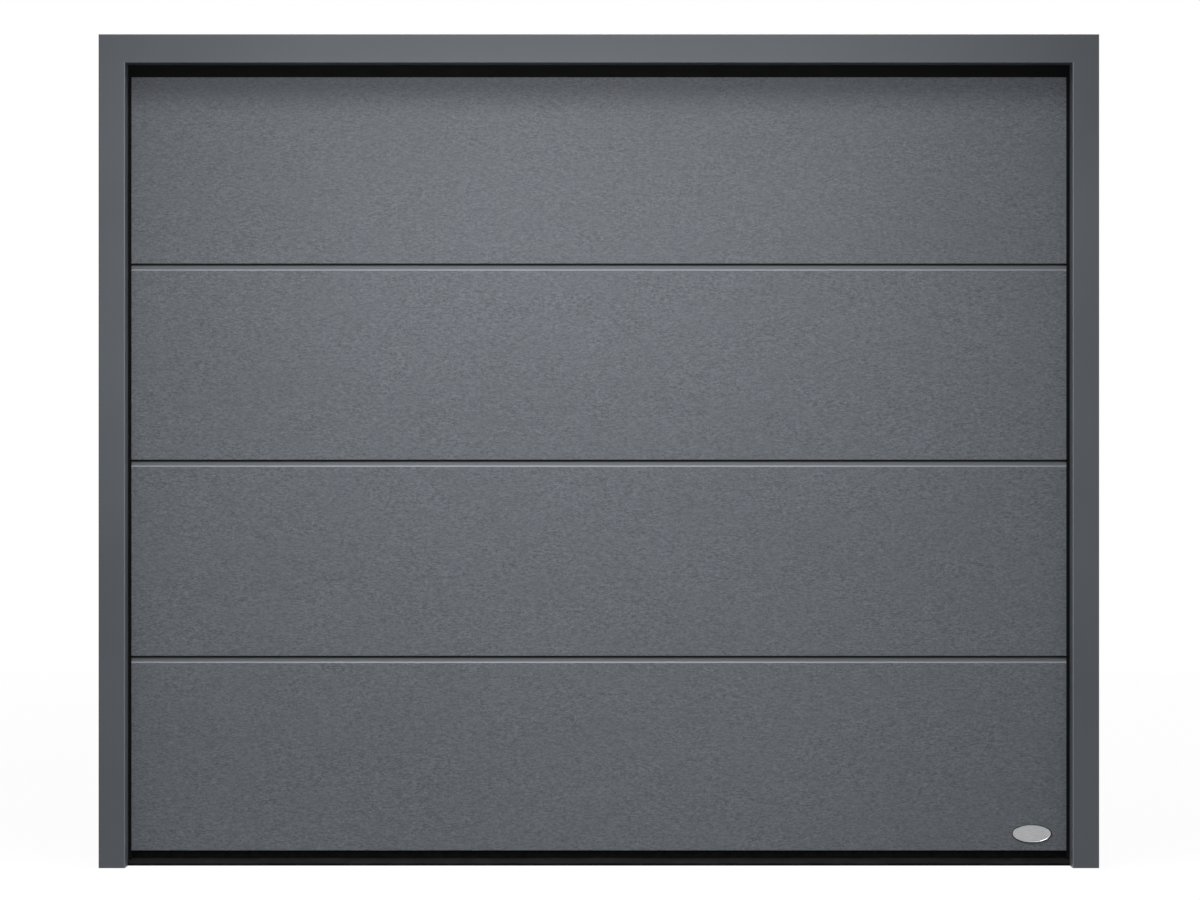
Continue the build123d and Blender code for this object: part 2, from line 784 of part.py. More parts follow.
# Ceiling hangers: an angle with a drilled plate on top
with BuildPart() as ceiling_hangers:
    hanger_low = LOWER_TRACK - TRACK_HALF
    hanger_high = UPPER_TRACK + TRACK_HALF + HANGER_RISE
    for y, face in ((FRONT_HANGER_Y, TRACK_OUTER), (TRACK_END - REAR_HANGER_INSET, PLATE_FACE)):
        with BuildSketch(Plane.XY.offset(hanger_low)):
            add(
                folded_sheet(
                    [
                        (face, y + HANGER_LEG / 2),
                        (face, y - HANGER_LEG / 2),
                        (face + HANGER_OUT, y - HANGER_LEG / 2),
                    ],
                    0,
                    HANGER_SHEET,
                    Side.LEFT,
                )
            )
        extrude(amount=hanger_high - HANGER_SHEET - hanger_low)
        with BuildSketch(Plane.XY.offset(hanger_high - HANGER_SHEET)):
            with Locations((face, y - HANGER_LEG / 2)):
                Rectangle(HANGER_OUT, HANGER_PLATE, align=(Align.MIN, Align.MIN))
            with Locations((face + HANGER_OUT / 2, y + HANGER_LEG / 2)):
                Circle(HANGER_HOLE / 2, mode=Mode.SUBTRACT)
        extrude(amount=HANGER_SHEET)
    mirror(about=Plane.YZ)

# Channel between the rear plates
with BuildPart() as rear_spreader_bar:
    with BuildSketch(Plane.YZ):
        add(
            folded_sheet(
                [
                    (BAR_FRONT + BAR_DEPTH, SHAFT_Z - BAR_HEIGHT / 2),
                    (BAR_FRONT, SHAFT_Z - BAR_HEIGHT / 2),
                    (BAR_FRONT, SHAFT_Z + BAR_HEIGHT / 2),
                    (BAR_FRONT + BAR_DEPTH, SHAFT_Z + BAR_HEIGHT / 2),
                ],
                FRAME_SHEET,
                FRAME_SHEET,
                Side.RIGHT,
            )
        )
    extrude(amount=TRACK_OUTER, both=True)

# Shaft, springs, cones and anchor
with BuildPart() as spring_shaft:
    half_shaft = PLATE_FACE + SHAFT_OVERHANG
    add(disc(-half_shaft, half_shaft, SHAFT_Y, SHAFT_Z, SHAFT_RADIUS, LARGE_SIDES))

SPRING_START = ANCHOR_SHEET / 2 + FIT + CONE_COLLAR_LENGTH
SPRING_END = SPRING_START + SPRING_LENGTH


def sleeve(start, end, radius, bore=SHAFT_BORE):
    """Round piece round the shaft, from one X to another."""
    return disc(start, end, SHAFT_Y, SHAFT_Z, radius, LARGE_SIDES, bore, LARGE_SIDES)


with BuildPart() as torsion_springs:
    add(sleeve(SPRING_START, SPRING_END, SPRING_RADIUS, SPRING_RADIUS - SPRING_WIRE))
    mirror(about=Plane.YZ)

with BuildPart() as winding_cones:
    add(sleeve(SPRING_START - CONE_COLLAR_LENGTH, SPRING_START, CONE_COLLAR))
    add(sleeve(SPRING_END, SPRING_END + WINDING_LENGTH, CONE_COLLAR))
    mirror(about=Plane.YZ)

with BuildPart() as spring_anchor_bracket:
    with BuildSketch(across(-ANCHOR_SHEET / 2)):
        with Locations((SHAFT_Y, SHAFT_Z)):
            Rectangle(BAR_BEHIND_SHAFT, BAR_HEIGHT, align=(Align.MIN, Align.CENTER))
            round_outline(BAR_HEIGHT / 2, LARGE_SIDES)
            round_outline(SHAFT_BORE, LARGE_SIDES, Mode.SUBTRACT)
    extrude(amount=ANCHOR_SHEET)
    with BuildSketch(deep(BAR_FRONT - ANCHOR_SHEET)):
        with Locations((0, SHAFT_Z)):
            Rectangle(2 * BAR_HEIGHT, BAR_HEIGHT - 2 * FRAME_BEND)
    extrude(amount=-ANCHOR_SHEET)

# Cable drums and pulleys
with BuildPart() as cable_drums:
    drum_inner = CABLE_X - DRUM_WIDTH / 2
    drum_outer = CABLE_X + DRUM_WIDTH / 2
    rim = DRUM_RADIUS + DRUM_FLANGE
    add(sleeve(drum_inner, drum_inner + DRUM_RIM, rim))
    add(sleeve(drum_inner + DRUM_RIM, drum_outer - DRUM_RIM, DRUM_RADIUS - CABLE_RADIUS - FIT))
    add(sleeve(drum_outer - DRUM_RIM, drum_outer, rim))
    mirror(about=Plane.YZ)


def pulley_slice(start, end, radius):
    """Slice of a cable pulley, from one X to another beside the cable."""
    return disc(
        CABLE_X + start,
        CABLE_X + end,
        PULLEY_Y,
        PULLEY_Z,
        radius,
        LARGE_SIDES,
        AXLE_RADIUS + FIT,
        STEM_SIDES,
    )


with BuildPart() as cable_pulleys:
    half_pulley = PULLEY_WIDTH / 2
    cheek = half_pulley - PULLEY_CHEEK
    add(pulley_slice(-half_pulley, -cheek, PULLEY_RADIUS + PULLEY_FLANGE))
    add(pulley_slice(-cheek, cheek, PULLEY_RADIUS - CABLE_RADIUS - 2 * FIT))
    add(pulley_slice(cheek, half_pulley, PULLEY_RADIUS + PULLEY_FLANGE))
    mirror(about=Plane.YZ)


def lift_cable():
    """Right-hand cable from the stud over the pulley to the foot of the drum."""
    eye = STUD_RADIUS + FIT
    with BuildPart() as cable:
        with BuildLine(across(CABLE_X)) as route:
            FilletPolyline(
                (STUD_Y, STUD_Z + eye + CABLE_RADIUS),
                (STUD_Y, CABLE_RUN),
                (SHAFT_Y, CABLE_RUN),
                radius=PULLEY_RADIUS,
            )
        with BuildSketch(Plane(origin=route.line @ 0, z_dir=route.line % 0)):
            round_outline(CABLE_RADIUS, SMALL_SIDES)
        sweep()
        half_eye = EYE_WIDTH / 2
        add(
            disc(
                CABLE_X - half_eye,
                CABLE_X + half_eye,
                STUD_Y,
                STUD_Z,
                eye + 2 * CABLE_RADIUS,
                SMALL_SIDES,
                eye,
            )
        )
    return cable


right_lift_cable = lift_cable()
left_lift_cable = left_of(right_lift_cable)

NODES = {
    "frame_head": frame_head,
    "frame_left_leg": frame_left_leg,
    "frame_right_leg": frame_right_leg,
    "floor_angles": floor_angles,
    "head_seal": head_seal,
    "side_seals": side_seals,
    "bottom_section": bottom_section,
    "lower_middle_section": lower_middle_section,
    "upper_middle_section": upper_middle_section,
    "top_section": top_section,
    "end_caps": end_caps,
    "bottom_seal_rail": bottom_seal_rail,
    "bottom_seal": bottom_seal,
    "badge_plate": badge_plate,
    "centre_hinge_lower_leaves": centre_hinge_lower_leaves,
    "centre_hinge_upper_leaves": centre_hinge_upper_leaves,
    "side_hinge_lower_leaves": side_hinge_lower_leaves,
    "side_hinge_upper_leaves": side_hinge_upper_leaves,
    "hinge_pins": hinge_pins,
    "roller_carriers": roller_carriers,
    "bottom_brackets": bottom_brackets,
    "top_brackets": top_brackets,
    "roller_stems": roller_stems,
    "roller_wheels": roller_wheels,
    "left_vertical_track": left_vertical_track,
    "right_vertical_track": right_vertical_track,
    "left_curved_track": left_curved_track,
    "right_curved_track": right_curved_track,
    "left_lower_horizontal_track": left_lower_horizontal_track,
    "right_lower_horizontal_track": right_lower_horizontal_track,
    "left_upper_horizontal_track": left_upper_horizontal_track,
    "right_upper_horizontal_track": right_upper_horizontal_track,
    "track_brackets": track_brackets,
    "corner_plates": corner_plates,
    "rear_plates": rear_plates,
    "ceiling_hangers": ceiling_hangers,
    "rear_spreader_bar": rear_spreader_bar,
    "spring_shaft": spring_shaft,
    "torsion_springs": torsion_springs,
    "winding_cones": winding_cones,
    "spring_anchor_bracket": spring_anchor_bracket,
    "cable_drums": cable_drums,
    "cable_pulleys": cable_pulleys,
    "left_lift_cable": left_lift_cable,
    "right_lift_cable": right_lift_cable,
}

os.makedirs("parts", exist_ok=True)
for name, piece in NODES.items():
    piece.part.label = name
    export_step(piece.part, f"parts/{name}.step")
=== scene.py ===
"""Looks of the sectional garage door: finishes, small fittings, light and camera.

Blender works in metres. The modelling helpers take millimetres in the same frame.
"""

import json
import math

import bmesh
import bpy
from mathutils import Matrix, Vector
from mathutils.geometry import tessellate_polygon


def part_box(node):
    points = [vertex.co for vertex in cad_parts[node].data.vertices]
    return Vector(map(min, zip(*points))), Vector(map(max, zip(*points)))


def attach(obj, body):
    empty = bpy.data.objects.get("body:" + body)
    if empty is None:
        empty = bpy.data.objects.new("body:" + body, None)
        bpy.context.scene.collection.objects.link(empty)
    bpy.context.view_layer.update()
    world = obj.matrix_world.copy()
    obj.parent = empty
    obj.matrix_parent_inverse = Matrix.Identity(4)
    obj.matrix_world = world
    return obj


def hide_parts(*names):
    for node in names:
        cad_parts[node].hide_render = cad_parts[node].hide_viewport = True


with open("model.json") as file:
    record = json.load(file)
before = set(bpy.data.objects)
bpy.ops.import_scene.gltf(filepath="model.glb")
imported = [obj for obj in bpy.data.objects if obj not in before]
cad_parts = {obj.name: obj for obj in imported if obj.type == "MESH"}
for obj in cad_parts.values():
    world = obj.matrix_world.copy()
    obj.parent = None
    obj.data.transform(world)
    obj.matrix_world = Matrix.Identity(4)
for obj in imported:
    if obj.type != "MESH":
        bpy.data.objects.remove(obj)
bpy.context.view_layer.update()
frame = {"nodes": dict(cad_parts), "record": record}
scene = bpy.context.scene
MM = 0.001


# Camera
def make_camera():
    """Camera level and straight in front of the door, as the photograph was taken."""
    camera = bpy.data.objects.new("camera", bpy.data.cameras.new("camera"))
    camera.location = (0.003, -9.1, -1.0595)
    camera.rotation_euler = (math.pi / 2, 0, 0)
    camera.data.sensor_width = 36
    camera.data.lens = 103.5
    scene.collection.objects.link(camera)
    scene.camera = camera


make_camera()


# Finishes
def srgb(*levels):
    """Linear colour of levels from 0 to 255 as they show on a screen."""
    shares = [level / 255 for level in levels]
    return [s / 12.92 if s <= 0.04045 else ((s + 0.055) / 1.055) ** 2.4 for s in shares] + [1.0]


class Finish:
    """A procedural material, with short calls for the nodes that it uses."""

    def __init__(self, name, metallic=0.0, roughness=0.5, specular=0.5):
        self.material = bpy.data.materials.new(name)
        self.material.use_nodes = True
        self.tree = self.material.node_tree
        self.shader = self.tree.nodes["Principled BSDF"]
        self.shader.inputs["Metallic"].default_value = metallic
        self.shader.inputs["Roughness"].default_value = roughness
        self.shader.inputs["Specular IOR Level"].default_value = specular
        self.place = self.tree.nodes.new("ShaderNodeTexCoord").outputs["Object"]

    def node(self, kind, inputs, **settings):
        """New node with its settings; an input is another node's output or a value."""
        made = self.tree.nodes.new("ShaderNode" + kind)
        for name, value in settings.items():
            setattr(made, name, value)
        for key, value in inputs.items():
            if isinstance(value, bpy.types.NodeSocket):
                self.tree.links.new(value, made.inputs[key])
            else:
                made.inputs[key].default_value = value
        return made

    def stretched(self, scale):
        return self.node("Mapping", {"Vector": self.place, "Scale": scale}).outputs["Vector"]

    def noise(self, scale, detail=3.0, rough=0.55):
        """Noise from 0 to 1 with about scale lumps a metre along X, Y and Z."""
        inputs = {
            "Vector": self.stretched(scale),
            "Scale": 1.0,
            "Detail": detail,
            "Roughness": rough,
        }
        return self.node("TexNoise", inputs).outputs["Fac"]

    def cells(self, scale):
        """Random level of flat patches, scale of them a metre."""
        made = self.node("TexVoronoi", {"Vector": self.stretched((scale,) * 3), "Scale": 1.0})
        return self.node("SeparateColor", {"Color": made.outputs["Color"]}).outputs[0]

    def along(self, axis):
        """Place along an axis, in metres."""
        return self.node("SeparateXYZ", {"Vector": self.place}).outputs[axis]

    def span(self, value, low, high, to_low=0.0, to_high=1.0):
        """Value from low to high, stretched to a new span and kept inside it."""
        made = self.node("MapRange", {0: value, 1: low, 2: high, 3: to_low, 4: to_high})
        return made.outputs["Result"]

    def maths(self, operation, first, second=0.0):
        return self.node("Math", {0: first, 1: second}, operation=operation).outputs["Value"]

    def times(self, first, second):
        return self.maths("MULTIPLY", first, second)

    def weighed(self, first, share, second):
        """Sum of two values, the first with its share and the second with the rest."""
        return self.maths("ADD", self.times(first, share), self.times(second, 1 - share))

    def mix(self, factor, first, second, mode="MIX"):
        """Colour between two colours; their sockets are found by number."""
        inputs = {0: factor, 6: first, 7: second}
        return self.node("Mix", inputs, data_type="RGBA", blend_type=mode).outputs[2]

    def between(self, factor, first, second):
        """Number between two numbers."""
        return self.node("Mix", {0: factor, 2: first, 3: second}, data_type="FLOAT").outputs[0]

    def colour(self, value):
        self.tree.links.new(value, self.shader.inputs["Base Color"])

    def roughness(self, value):
        self.tree.links.new(value, self.shader.inputs["Roughness"])

    def bump(self, height, depth):
        """Relief of depth metres between heights 0 and 1."""
        made = self.node("Bump", {"Height": height, "Distance": depth, "Strength": 1.0})
        self.tree.links.new(made.outputs["Normal"], self.shader.inputs["Normal"])


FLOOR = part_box("bottom_seal")[0].z
LEAF_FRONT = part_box("bottom_section")[0].y
LEAF_MIDDLE = (LEAF_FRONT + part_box("bottom_section")[1].y) / 2
LEG_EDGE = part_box("frame_right_leg")[0].x
HEAD_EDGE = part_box("frame_head")[0].z

# Bands of a joint: metres behind the leaf's front where each starts and is whole, and its tone
JOINT_BANDS = (
    (0.0002, 0.0008, (115, 119, 125)),  # painted highlight on the shoulder
    (0.0023, 0.0026, (84, 88, 93)),  # strip
    (0.0052, 0.0056, (9, 9, 9)),  # painted shade: black inside the joint gap
)


def leaf_finish():
    """Grained anthracite outside, painted highlight on the shoulders, black painted shade in the
    joint gaps, pale stucco inside.
    """
    finish = Finish("leaf_paint", specular=0.3)
    depth = finish.along("Y")
    inside = finish.span(depth, LEAF_MIDDLE + 0.007, LEAF_MIDDLE + 0.008)
    grain = finish.noise((100, 100, 300), 3, 0.6)
    speckle = finish.noise((260, 260, 480), 2, 0.6)
    specks = finish.span(finish.noise((330, 330, 330), 1), 0.7, 0.78)
    patches = finish.noise((1.3, 1.3, 2.6), 3)
    mottle = finish.weighed(grain, 0.55, speckle)
    strength = finish.span(finish.noise((9, 9, 16), 3), 0.36, 0.64, 0.72, 1.08)
    shade = finish.maths("SUBTRACT", finish.span(mottle, 0.36, 0.64), 0.5)
    shade = finish.maths("ADD", finish.times(shade, strength), 0.5)
    outside = finish.mix(shade, srgb(71, 75, 80), srgb(112, 116, 122))
    outside = finish.mix(specks, outside, srgb(119, 123, 129))
    cloud = finish.span(patches, 0.3, 0.7, 0.97, 1.03)
    outside = finish.mix(1.0, outside, cloud, "MULTIPLY")
    # Bands over the grain: a painted highlight on the shoulder, the strip's own tone, and black
    # painted shade deep in the joint gap
    for begins, whole, tone in JOINT_BANDS:
        band = finish.span(depth, LEAF_FRONT + begins, LEAF_FRONT + whole)
        outside = finish.mix(band, outside, srgb(*tone))
    stucco = finish.noise((160, 160, 160), 2, 0.5)
    pale = finish.mix(finish.span(patches, 0.3, 0.7), srgb(196, 196, 190), srgb(208, 208, 203))
    finish.colour(finish.mix(inside, outside, pale))
    finish.roughness(finish.between(inside, finish.span(mottle, 0.35, 0.65, 0.42, 0.58), 0.45))
    finish.bump(finish.between(inside, finish.times(mottle, 0.5), stucco), 0.0005)
    return finish.material


def frame_finish():
    """Smooth satin powder coat with a faint orange peel, and a painted highlight along the inner
    edges.
    """
    finish = Finish("frame_paint", specular=0.4)
    peel = finish.noise((420, 420, 420), 2)
    patches = finish.noise((1.6, 1.6, 1.6), 3)
    tone = finish.mix(finish.span(patches, 0.3, 0.7), srgb(75, 79, 84), srgb(83, 87, 92))
    # Painted highlight: a lighter tone on the front face, within a few millimetres of the inner
    # edges
    edge = 1.0
    for value, limit in (
        (finish.maths("ABSOLUTE", finish.along("X")), LEG_EDGE),
        (finish.along("Z"), HEAD_EDGE),
        (finish.along("Y"), 0.0),
    ):
        edge = finish.times(edge, finish.span(value, limit + 0.003, limit + 0.0015))
    finish.colour(finish.mix(edge, tone, srgb(112, 116, 121)))
    finish.roughness(finish.span(patches, 0.3, 0.7, 0.36, 0.46))
    finish.bump(peel, 0.00006)
    return finish.material


def zinc_finish(name, dark, light, rough, spangle):
    """Zinc coat with spangle, dull patches and fine scratches."""
    finish = Finish(name, metallic=1.0)
    crystals = finish.cells(spangle)
    dull = finish.noise((9, 9, 9), 4)
    lines = finish.noise((600, 60, 60), 2)
    level = finish.weighed(crystals, 0.28, dull)
    finish.colour(finish.mix(finish.span(level, 0.2, 0.8), srgb(*dark), srgb(*light)))
    finish.roughness(finish.span(level, 0.2, 0.8, rough + 0.1, rough - 0.08))
    finish.bump(lines, 0.00003)
    return finish.material


def cast_finish():
    """Sand-cast aluminium, darker in its pores."""
    finish = Finish("cast_metal", metallic=1.0)
    sand = finish.noise((700, 700, 700), 3, 0.6)
    stain = finish.noise((40, 40, 40), 3)
    tone = finish.mix(finish.span(sand, 0.3, 0.6), srgb(120, 121, 123), srgb(184, 185, 187))
    finish.colour(finish.mix(finish.span(stain, 0.5, 0.8), tone, srgb(140, 139, 136)))
    finish.roughness(finish.span(stain, 0.3, 0.7, 0.5, 0.62))
    finish.bump(sand, 0.0002)
    return finish.material


def badge_finish():
    """Satin aluminium with fine level brushing."""
    finish = Finish("badge_metal", metallic=1.0)
    brushed = finish.noise((60, 60, 3000), 3, 0.6)
    stain = finish.noise((40, 40, 40), 2)
    level = finish.span(brushed, 0.3, 0.7)
    finish.colour(finish.mix(level, srgb(146, 147, 149), srgb(186, 187, 188)))
    finish.roughness(finish.span(stain, 0.3, 0.7, 0.3, 0.42))
    finish.bump(brushed, 0.00004)
    return finish.material


def rubber_finish(name, tone, dust, dusty_height):
    """Matt black, greyed by dust, most of it below dusty_height metres over the floor."""
    finish = Finish(name, specular=0.05)
    fine = finish.noise((500, 500, 500), 3)
    smear = finish.noise((14, 14, 60), 4)
    low = finish.span(finish.along("Z"), FLOOR + dusty_height, FLOOR, 0.05, 0.6)
    share = finish.times(finish.span(smear, 0.4, 0.75, 0.0, 0.8), low)
    finish.colour(finish.mix(share, srgb(*tone), srgb(*dust)))
    finish.roughness(finish.span(smear, 0.3, 0.7, 0.55, 0.75))
    finish.bump(fine, 0.00008)
    return finish.material


def plastic_finish(name, dark, light, rough, sheen):
    """Moulded plastic with a fine grain and rubbed patches."""
    finish = Finish(name, specular=sheen)
    grain = finish.noise((900, 900, 900), 2)
    rub = finish.noise((55, 55, 55), 3)
    finish.colour(finish.mix(finish.span(rub, 0.35, 0.7), srgb(*light), srgb(*dark)))
    finish.roughness(finish.span(rub, 0.3, 0.7, rough, rough + 0.15))
    finish.bump(grain, 0.00004)
    return finish.material


def spring_finish():
    """Oiled black spring wire with rubbed, greyer patches."""
    finish = Finish("spring_steel", metallic=0.9)
    oil = finish.noise((26, 90, 90), 4)
    fine = finish.noise((900, 900, 900), 2)
    finish.colour(finish.mix(finish.span(oil, 0.4, 0.7), srgb(52, 53, 56), srgb(96, 96, 98)))
    finish.roughness(finish.span(oil, 0.3, 0.7, 0.28, 0.45))
    finish.bump(fine, 0.00003)
    return finish.material


FINISHES = {
    "leaf_paint": leaf_finish(),
    "frame_paint": frame_finish(),
    "cast_metal": cast_finish(),
    "badge_metal": badge_finish(),
    "spring_steel": spring_finish(),
}
for slot, made_by, *values in (
    ("galvanised_steel", zinc_finish, (142, 145, 148), (188, 190, 192), 0.42, 220),
    ("pin_steel", zinc_finish, (150, 151, 150), (202, 202, 198), 0.3, 400),
    ("cable_steel", zinc_finish, (116, 117, 118), (176, 176, 176), 0.36, 900),
    ("black_rubber", rubber_finish, (12, 12, 13), (54, 54, 53), 0.03),
    ("black_plastic", plastic_finish, (6, 6, 6), (15, 15, 16), 0.55, 0.04),
    ("roller_nylon", plastic_finish, (188, 184, 172), (222, 219, 210), 0.38, 0.4),
):
    FINISHES[slot] = made_by(slot, *values)


def dress_nodes():
    """Each CAD node takes the finish that the record names for it."""
    for row in frame["record"]["subparts"]:
        mesh_object = frame["nodes"].get(row["node"])
        if mesh_object:
            mesh_object.data.materials.clear()
            mesh_object.data.materials.append(FINISHES[row["material_slot"]])


dress_nodes()


# Modelling helpers, in millimetres
# For each axis, the point that is w along it and at (u, v) across it
AXES = {
    "x": lambda u, v, w: (w, u, v),
    "y": lambda u, v, w: (u, w, v),
    "z": lambda u, v, w: (u, v, w),
}


def quads(a, b, count):
    """Faces between two closed rings of count points that start at a and b."""
    return [[a + i, a + (i + 1) % count, b + (i + 1) % count, b + i] for i in range(count)]


class Shape:
    """Mesh of one piece, gathered from closed forms."""

    def __init__(self):
        self.points = []
        self.faces = []

    def take(self, points, faces):
        start = len(self.points)
        self.points.extend(points)
        self.faces.extend([start + corner for corner in face] for face in faces)

    def plate(self, outline, axis, low, high, holes=()):
        """Flat outline, with holes, from low to high along an axis."""
        loops = [outline, *holes]
        flat = [point for loop in loops for point in loop]
        count = len(flat)
        place = AXES[axis]
        points = [place(*p, low) for p in flat] + [place(*p, high) for p in flat]
        caps = tessellate_polygon([[Vector((*p, 0)) for p in loop] for loop in loops])
        faces = [list(cap) for cap in caps]
        faces += [[corner + count for corner in cap] for cap in caps]
        start = 0
        for loop in loops:
            faces += quads(start, start + count, len(loop))
            start += len(loop)
        self.take(points, faces)

    def turned(self, profile, axis, u, v, steps=48, ring=False, squash=1.0):
        """Profile of (place, radius) turned about an axis; a ring's profile is closed."""
        place = AXES[axis]
        points = []
        for w, radius in profile:
            for i in range(steps):
                turn = math.tau * i / steps
                points.append(
                    place(u + radius * math.cos(turn), v + squash * radius * math.sin(turn), w)
                )
        rows = len(profile) if ring else len(profile) - 1
        faces = []
        for row in range(rows):
            faces += quads(row * steps, (row + 1) % len(profile) * steps, steps)
        if not ring:
            faces.append(list(range(steps)))
            faces.append(list(range(rows * steps, rows * steps + steps)))
        self.take(points, faces)

    def swept(self, outline, stations):
        """Closed outline of (u, x) along stations of (y, z, uy, uz)."""
        count = len(outline)
        points = [(x, y + u * uy, z + u * uz) for y, z, uy, uz in stations for u, x in outline]
        faces = []
        for row in range(len(stations) - 1):
            faces += quads(row * count, (row + 1) * count, count)
        caps = tessellate_polygon([[Vector((*p, 0)) for p in outline]])
        last = (len(stations) - 1) * count
        faces += [list(cap) for cap in caps]
        faces += [[corner + last for corner in cap] for cap in caps]
        self.take(points, faces)

    def tube(self, path, radius, sides=8):
        """Round bar along a path of points."""
        path = [Vector(point) for point in path]
        points = []
        normal = None
        for i, here in enumerate(path):
            way = (path[min(i + 1, len(path) - 1)] - path[max(i - 1, 0)]).normalized()
            if normal is None:
                normal = way.orthogonal().normalized()
            normal = (normal - way * normal.dot(way)).normalized()
            side = way.cross(normal)
            for k in range(sides):
                turn = math.tau * k / sides
                points.append(here + radius * (normal * math.cos(turn) + side * math.sin(turn)))
        faces = []
        for row in range(len(path) - 1):
            faces += quads(row * sides, (row + 1) * sides, sides)
        faces.append(list(range(sides)))
        faces.append(list(range((len(path) - 1) * sides, len(path) * sides)))
        self.take(points, faces)

    def mirrored(self):
        """Adds the left-hand copy of everything so far."""
        points = [(-x, y, z) for x, y, z in self.points]
        faces = [list(face) for face in self.faces]
        self.take(points, faces)
        return self

    def piece(self, name, slot, replaces=(), bevel=0.0):
        """Makes the object, with softened edges, which rides on the door's one body."""
        mesh = bpy.data.meshes.new(name)
        mesh.from_pydata([Vector(point) * MM for point in self.points], [], self.faces)
        gathered = bmesh.new()
        gathered.from_mesh(mesh)
        bmesh.ops.recalc_face_normals(gathered, faces=gathered.faces)
        gathered.to_mesh(mesh)
        gathered.free()
        mesh.polygons.foreach_set("use_smooth", [True] * len(mesh.polygons))
        mesh.set_sharp_from_angle(angle=math.radians(32))
        mesh.materials.append(FINISHES[slot])
        made = bpy.data.objects.new(name, mesh)
        scene.collection.objects.link(made)
        if bevel:
            edges = made.modifiers.new("edges", "BEVEL")
            edges.width = bevel * MM
            edges.segments = 2
            edges.limit_method = "ANGLE"
            edges.angle_limit = math.radians(50)
            edges.harden_normals = True
            edges.loop_slide = False
        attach(made, "root")
        if replaces:
            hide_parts(*replaces)
        return made


def circle(u, v, radius, steps=20):
    """Outline of a circle."""
    turns = [math.tau * i / steps for i in range(steps)]
    return [(u + radius * math.cos(t), v + radius * math.sin(t)) for t in turns]


def rounded(points, radius, steps=5, closed=True):
    """Outline with its corners rounded; an open one keeps its ends."""
    path = [Vector(point) for point in points]
    made = [] if closed else [path[0]]
    corners = range(len(path)) if closed else range(1, len(path) - 1)
    for i in corners:
        corner = path[i]
        back = path[i - 1] - corner
        on = path[(i + 1) % len(path)] - corner
        half = back.angle(on) / 2
        cut = min(radius / math.tan(half), 0.49 * back.length, 0.49 * on.length)
        start = corner + back.normalized() * cut
        end = corner + on.normalized() * cut
        for step in range(steps + 1):
            t = step / steps
            made.append((1 - t) ** 2 * start + 2 * t * (1 - t) * corner + t**2 * end)
    if not closed:
        made.append(path[-1])
    return [tuple(point) for point in made]


def box(u, v, width, height, radius=0.0):
    """Outline of a rectangle about its centre."""
    du, dv = width / 2, height / 2
    corners = [(u - du, v - dv), (u + du, v - dv), (u + du, v + dv), (u - du, v + dv)]
    return rounded(corners, radius) if radius else corners


def strip(points, sheet, radius, steps=5):
    """Outline of a bent sheet whose outer face follows the points, its metal on the left."""
    outer = [Vector(p) for p in rounded(points, radius, steps, closed=False)]
    inner = []
    for i, here in enumerate(outer):
        before = here - outer[i - 1] if i else outer[1] - here
        after = outer[i + 1] - here if i < len(outer) - 1 else before
        side = (before.normalized() + after.normalized()).normalized()
        normal = Vector((-side.y, side.x))
        lean = max(normal.dot(Vector((-before.y, before.x)).normalized()), 0.4)
        inner.append(here + normal * sheet / lean)
    return [tuple(p) for p in outer + inner[::-1]]


# Size across flats, height of the head and radius of its flange
SCREW = (8, 4, 6.5)
BAR_BOLT = (10, 5, 8)
BOLT = (11, 5, 8)


def hex_head(shape, axis, u, v, face, kind, way=1):
    """Hexagon head with a flange, on a face and towards one way."""
    size, height, flange = kind
    low = face + way * 1.6
    rim = [(face, flange), (face + way * 0.9, flange), (low, size * 0.62)]
    shape.turned(rim, axis, u, v, 20)
    top = low + way * height
    corner = size / math.sqrt(3)
    chamfer = way * 0.12 * size
    hexagon = [(low, corner), (top - chamfer, corner), (top, corner * 0.86)]
    shape.turned(hexagon, axis, u, v, 6)


def dome_head(shape, x, z, face, radius=4, height=1.8):
    """Low round head on the back of the leaf."""
    arc = [(face, radius)]
    for i in range(1, 6):
        turn = math.pi / 2 * i / 6
        arc.append((face + height * math.sin(turn), radius * math.cos(turn)))
    arc.append((face + height, radius * 0.05))
    shape.turned(arc, "y", x, z, 20)


def half_round(y, z, radius, steps=12):
    """Points of (y, z) round the back of a cheek, from its lowest to its highest."""
    turns = [math.pi * (i / steps - 0.5) for i in range(steps + 1)]
    return [(y + radius * math.cos(t), z + radius * math.sin(t)) for t in turns]


def spans(node):
    """Lowest and highest corner of a CAD node, in millimetres."""
    low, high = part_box(node)
    return low / MM, high / MM


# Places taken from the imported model, in millimetres. Pieces of both sides are made on the
# right, where X is positive, and mirrored.
FOOT = FLOOR / MM
LEAF_LOW, LEAF_HIGH = spans("bottom_section")
FRONT, BACK = LEAF_LOW.y, LEAF_HIGH.y
UPPER_SECTIONS = ("lower_middle_section", "upper_middle_section", "top_section")
JOINTS = [spans(node)[0].z - 2.5 for node in UPPER_SECTIONS]  # hinge axes
CAP_HIGH = spans("end_caps")[1]
CAP, LEAF_SIDE, LEAF_TOP = CAP_HIGH.y, CAP_HIGH.x, CAP_HIGH.z
TRACK_LOW, TRACK_HIGH = spans("right_vertical_track")
INNER, OUTER = TRACK_LOW.x, TRACK_HIGH.x
ROLLER_Y = (TRACK_LOW.y + TRACK_HIGH.y) / 2
CURVE_START = TRACK_HIGH.z
LEVEL_LOW, LEVEL_HIGH = spans("right_lower_horizontal_track")
LOWER_Z = (LEVEL_LOW.z + LEVEL_HIGH.z) / 2
CURVE_Y, TRACK_END = LEVEL_LOW.y, LEVEL_HIGH.y
CURVE_RADIUS = CURVE_Y - ROLLER_Y
UPPER_LOW, UPPER_HIGH = spans("right_upper_horizontal_track")
UPPER_Z = (UPPER_LOW.z + UPPER_HIGH.z) / 2
SHAFT_LOW, SHAFT_HIGH = spans("spring_shaft")
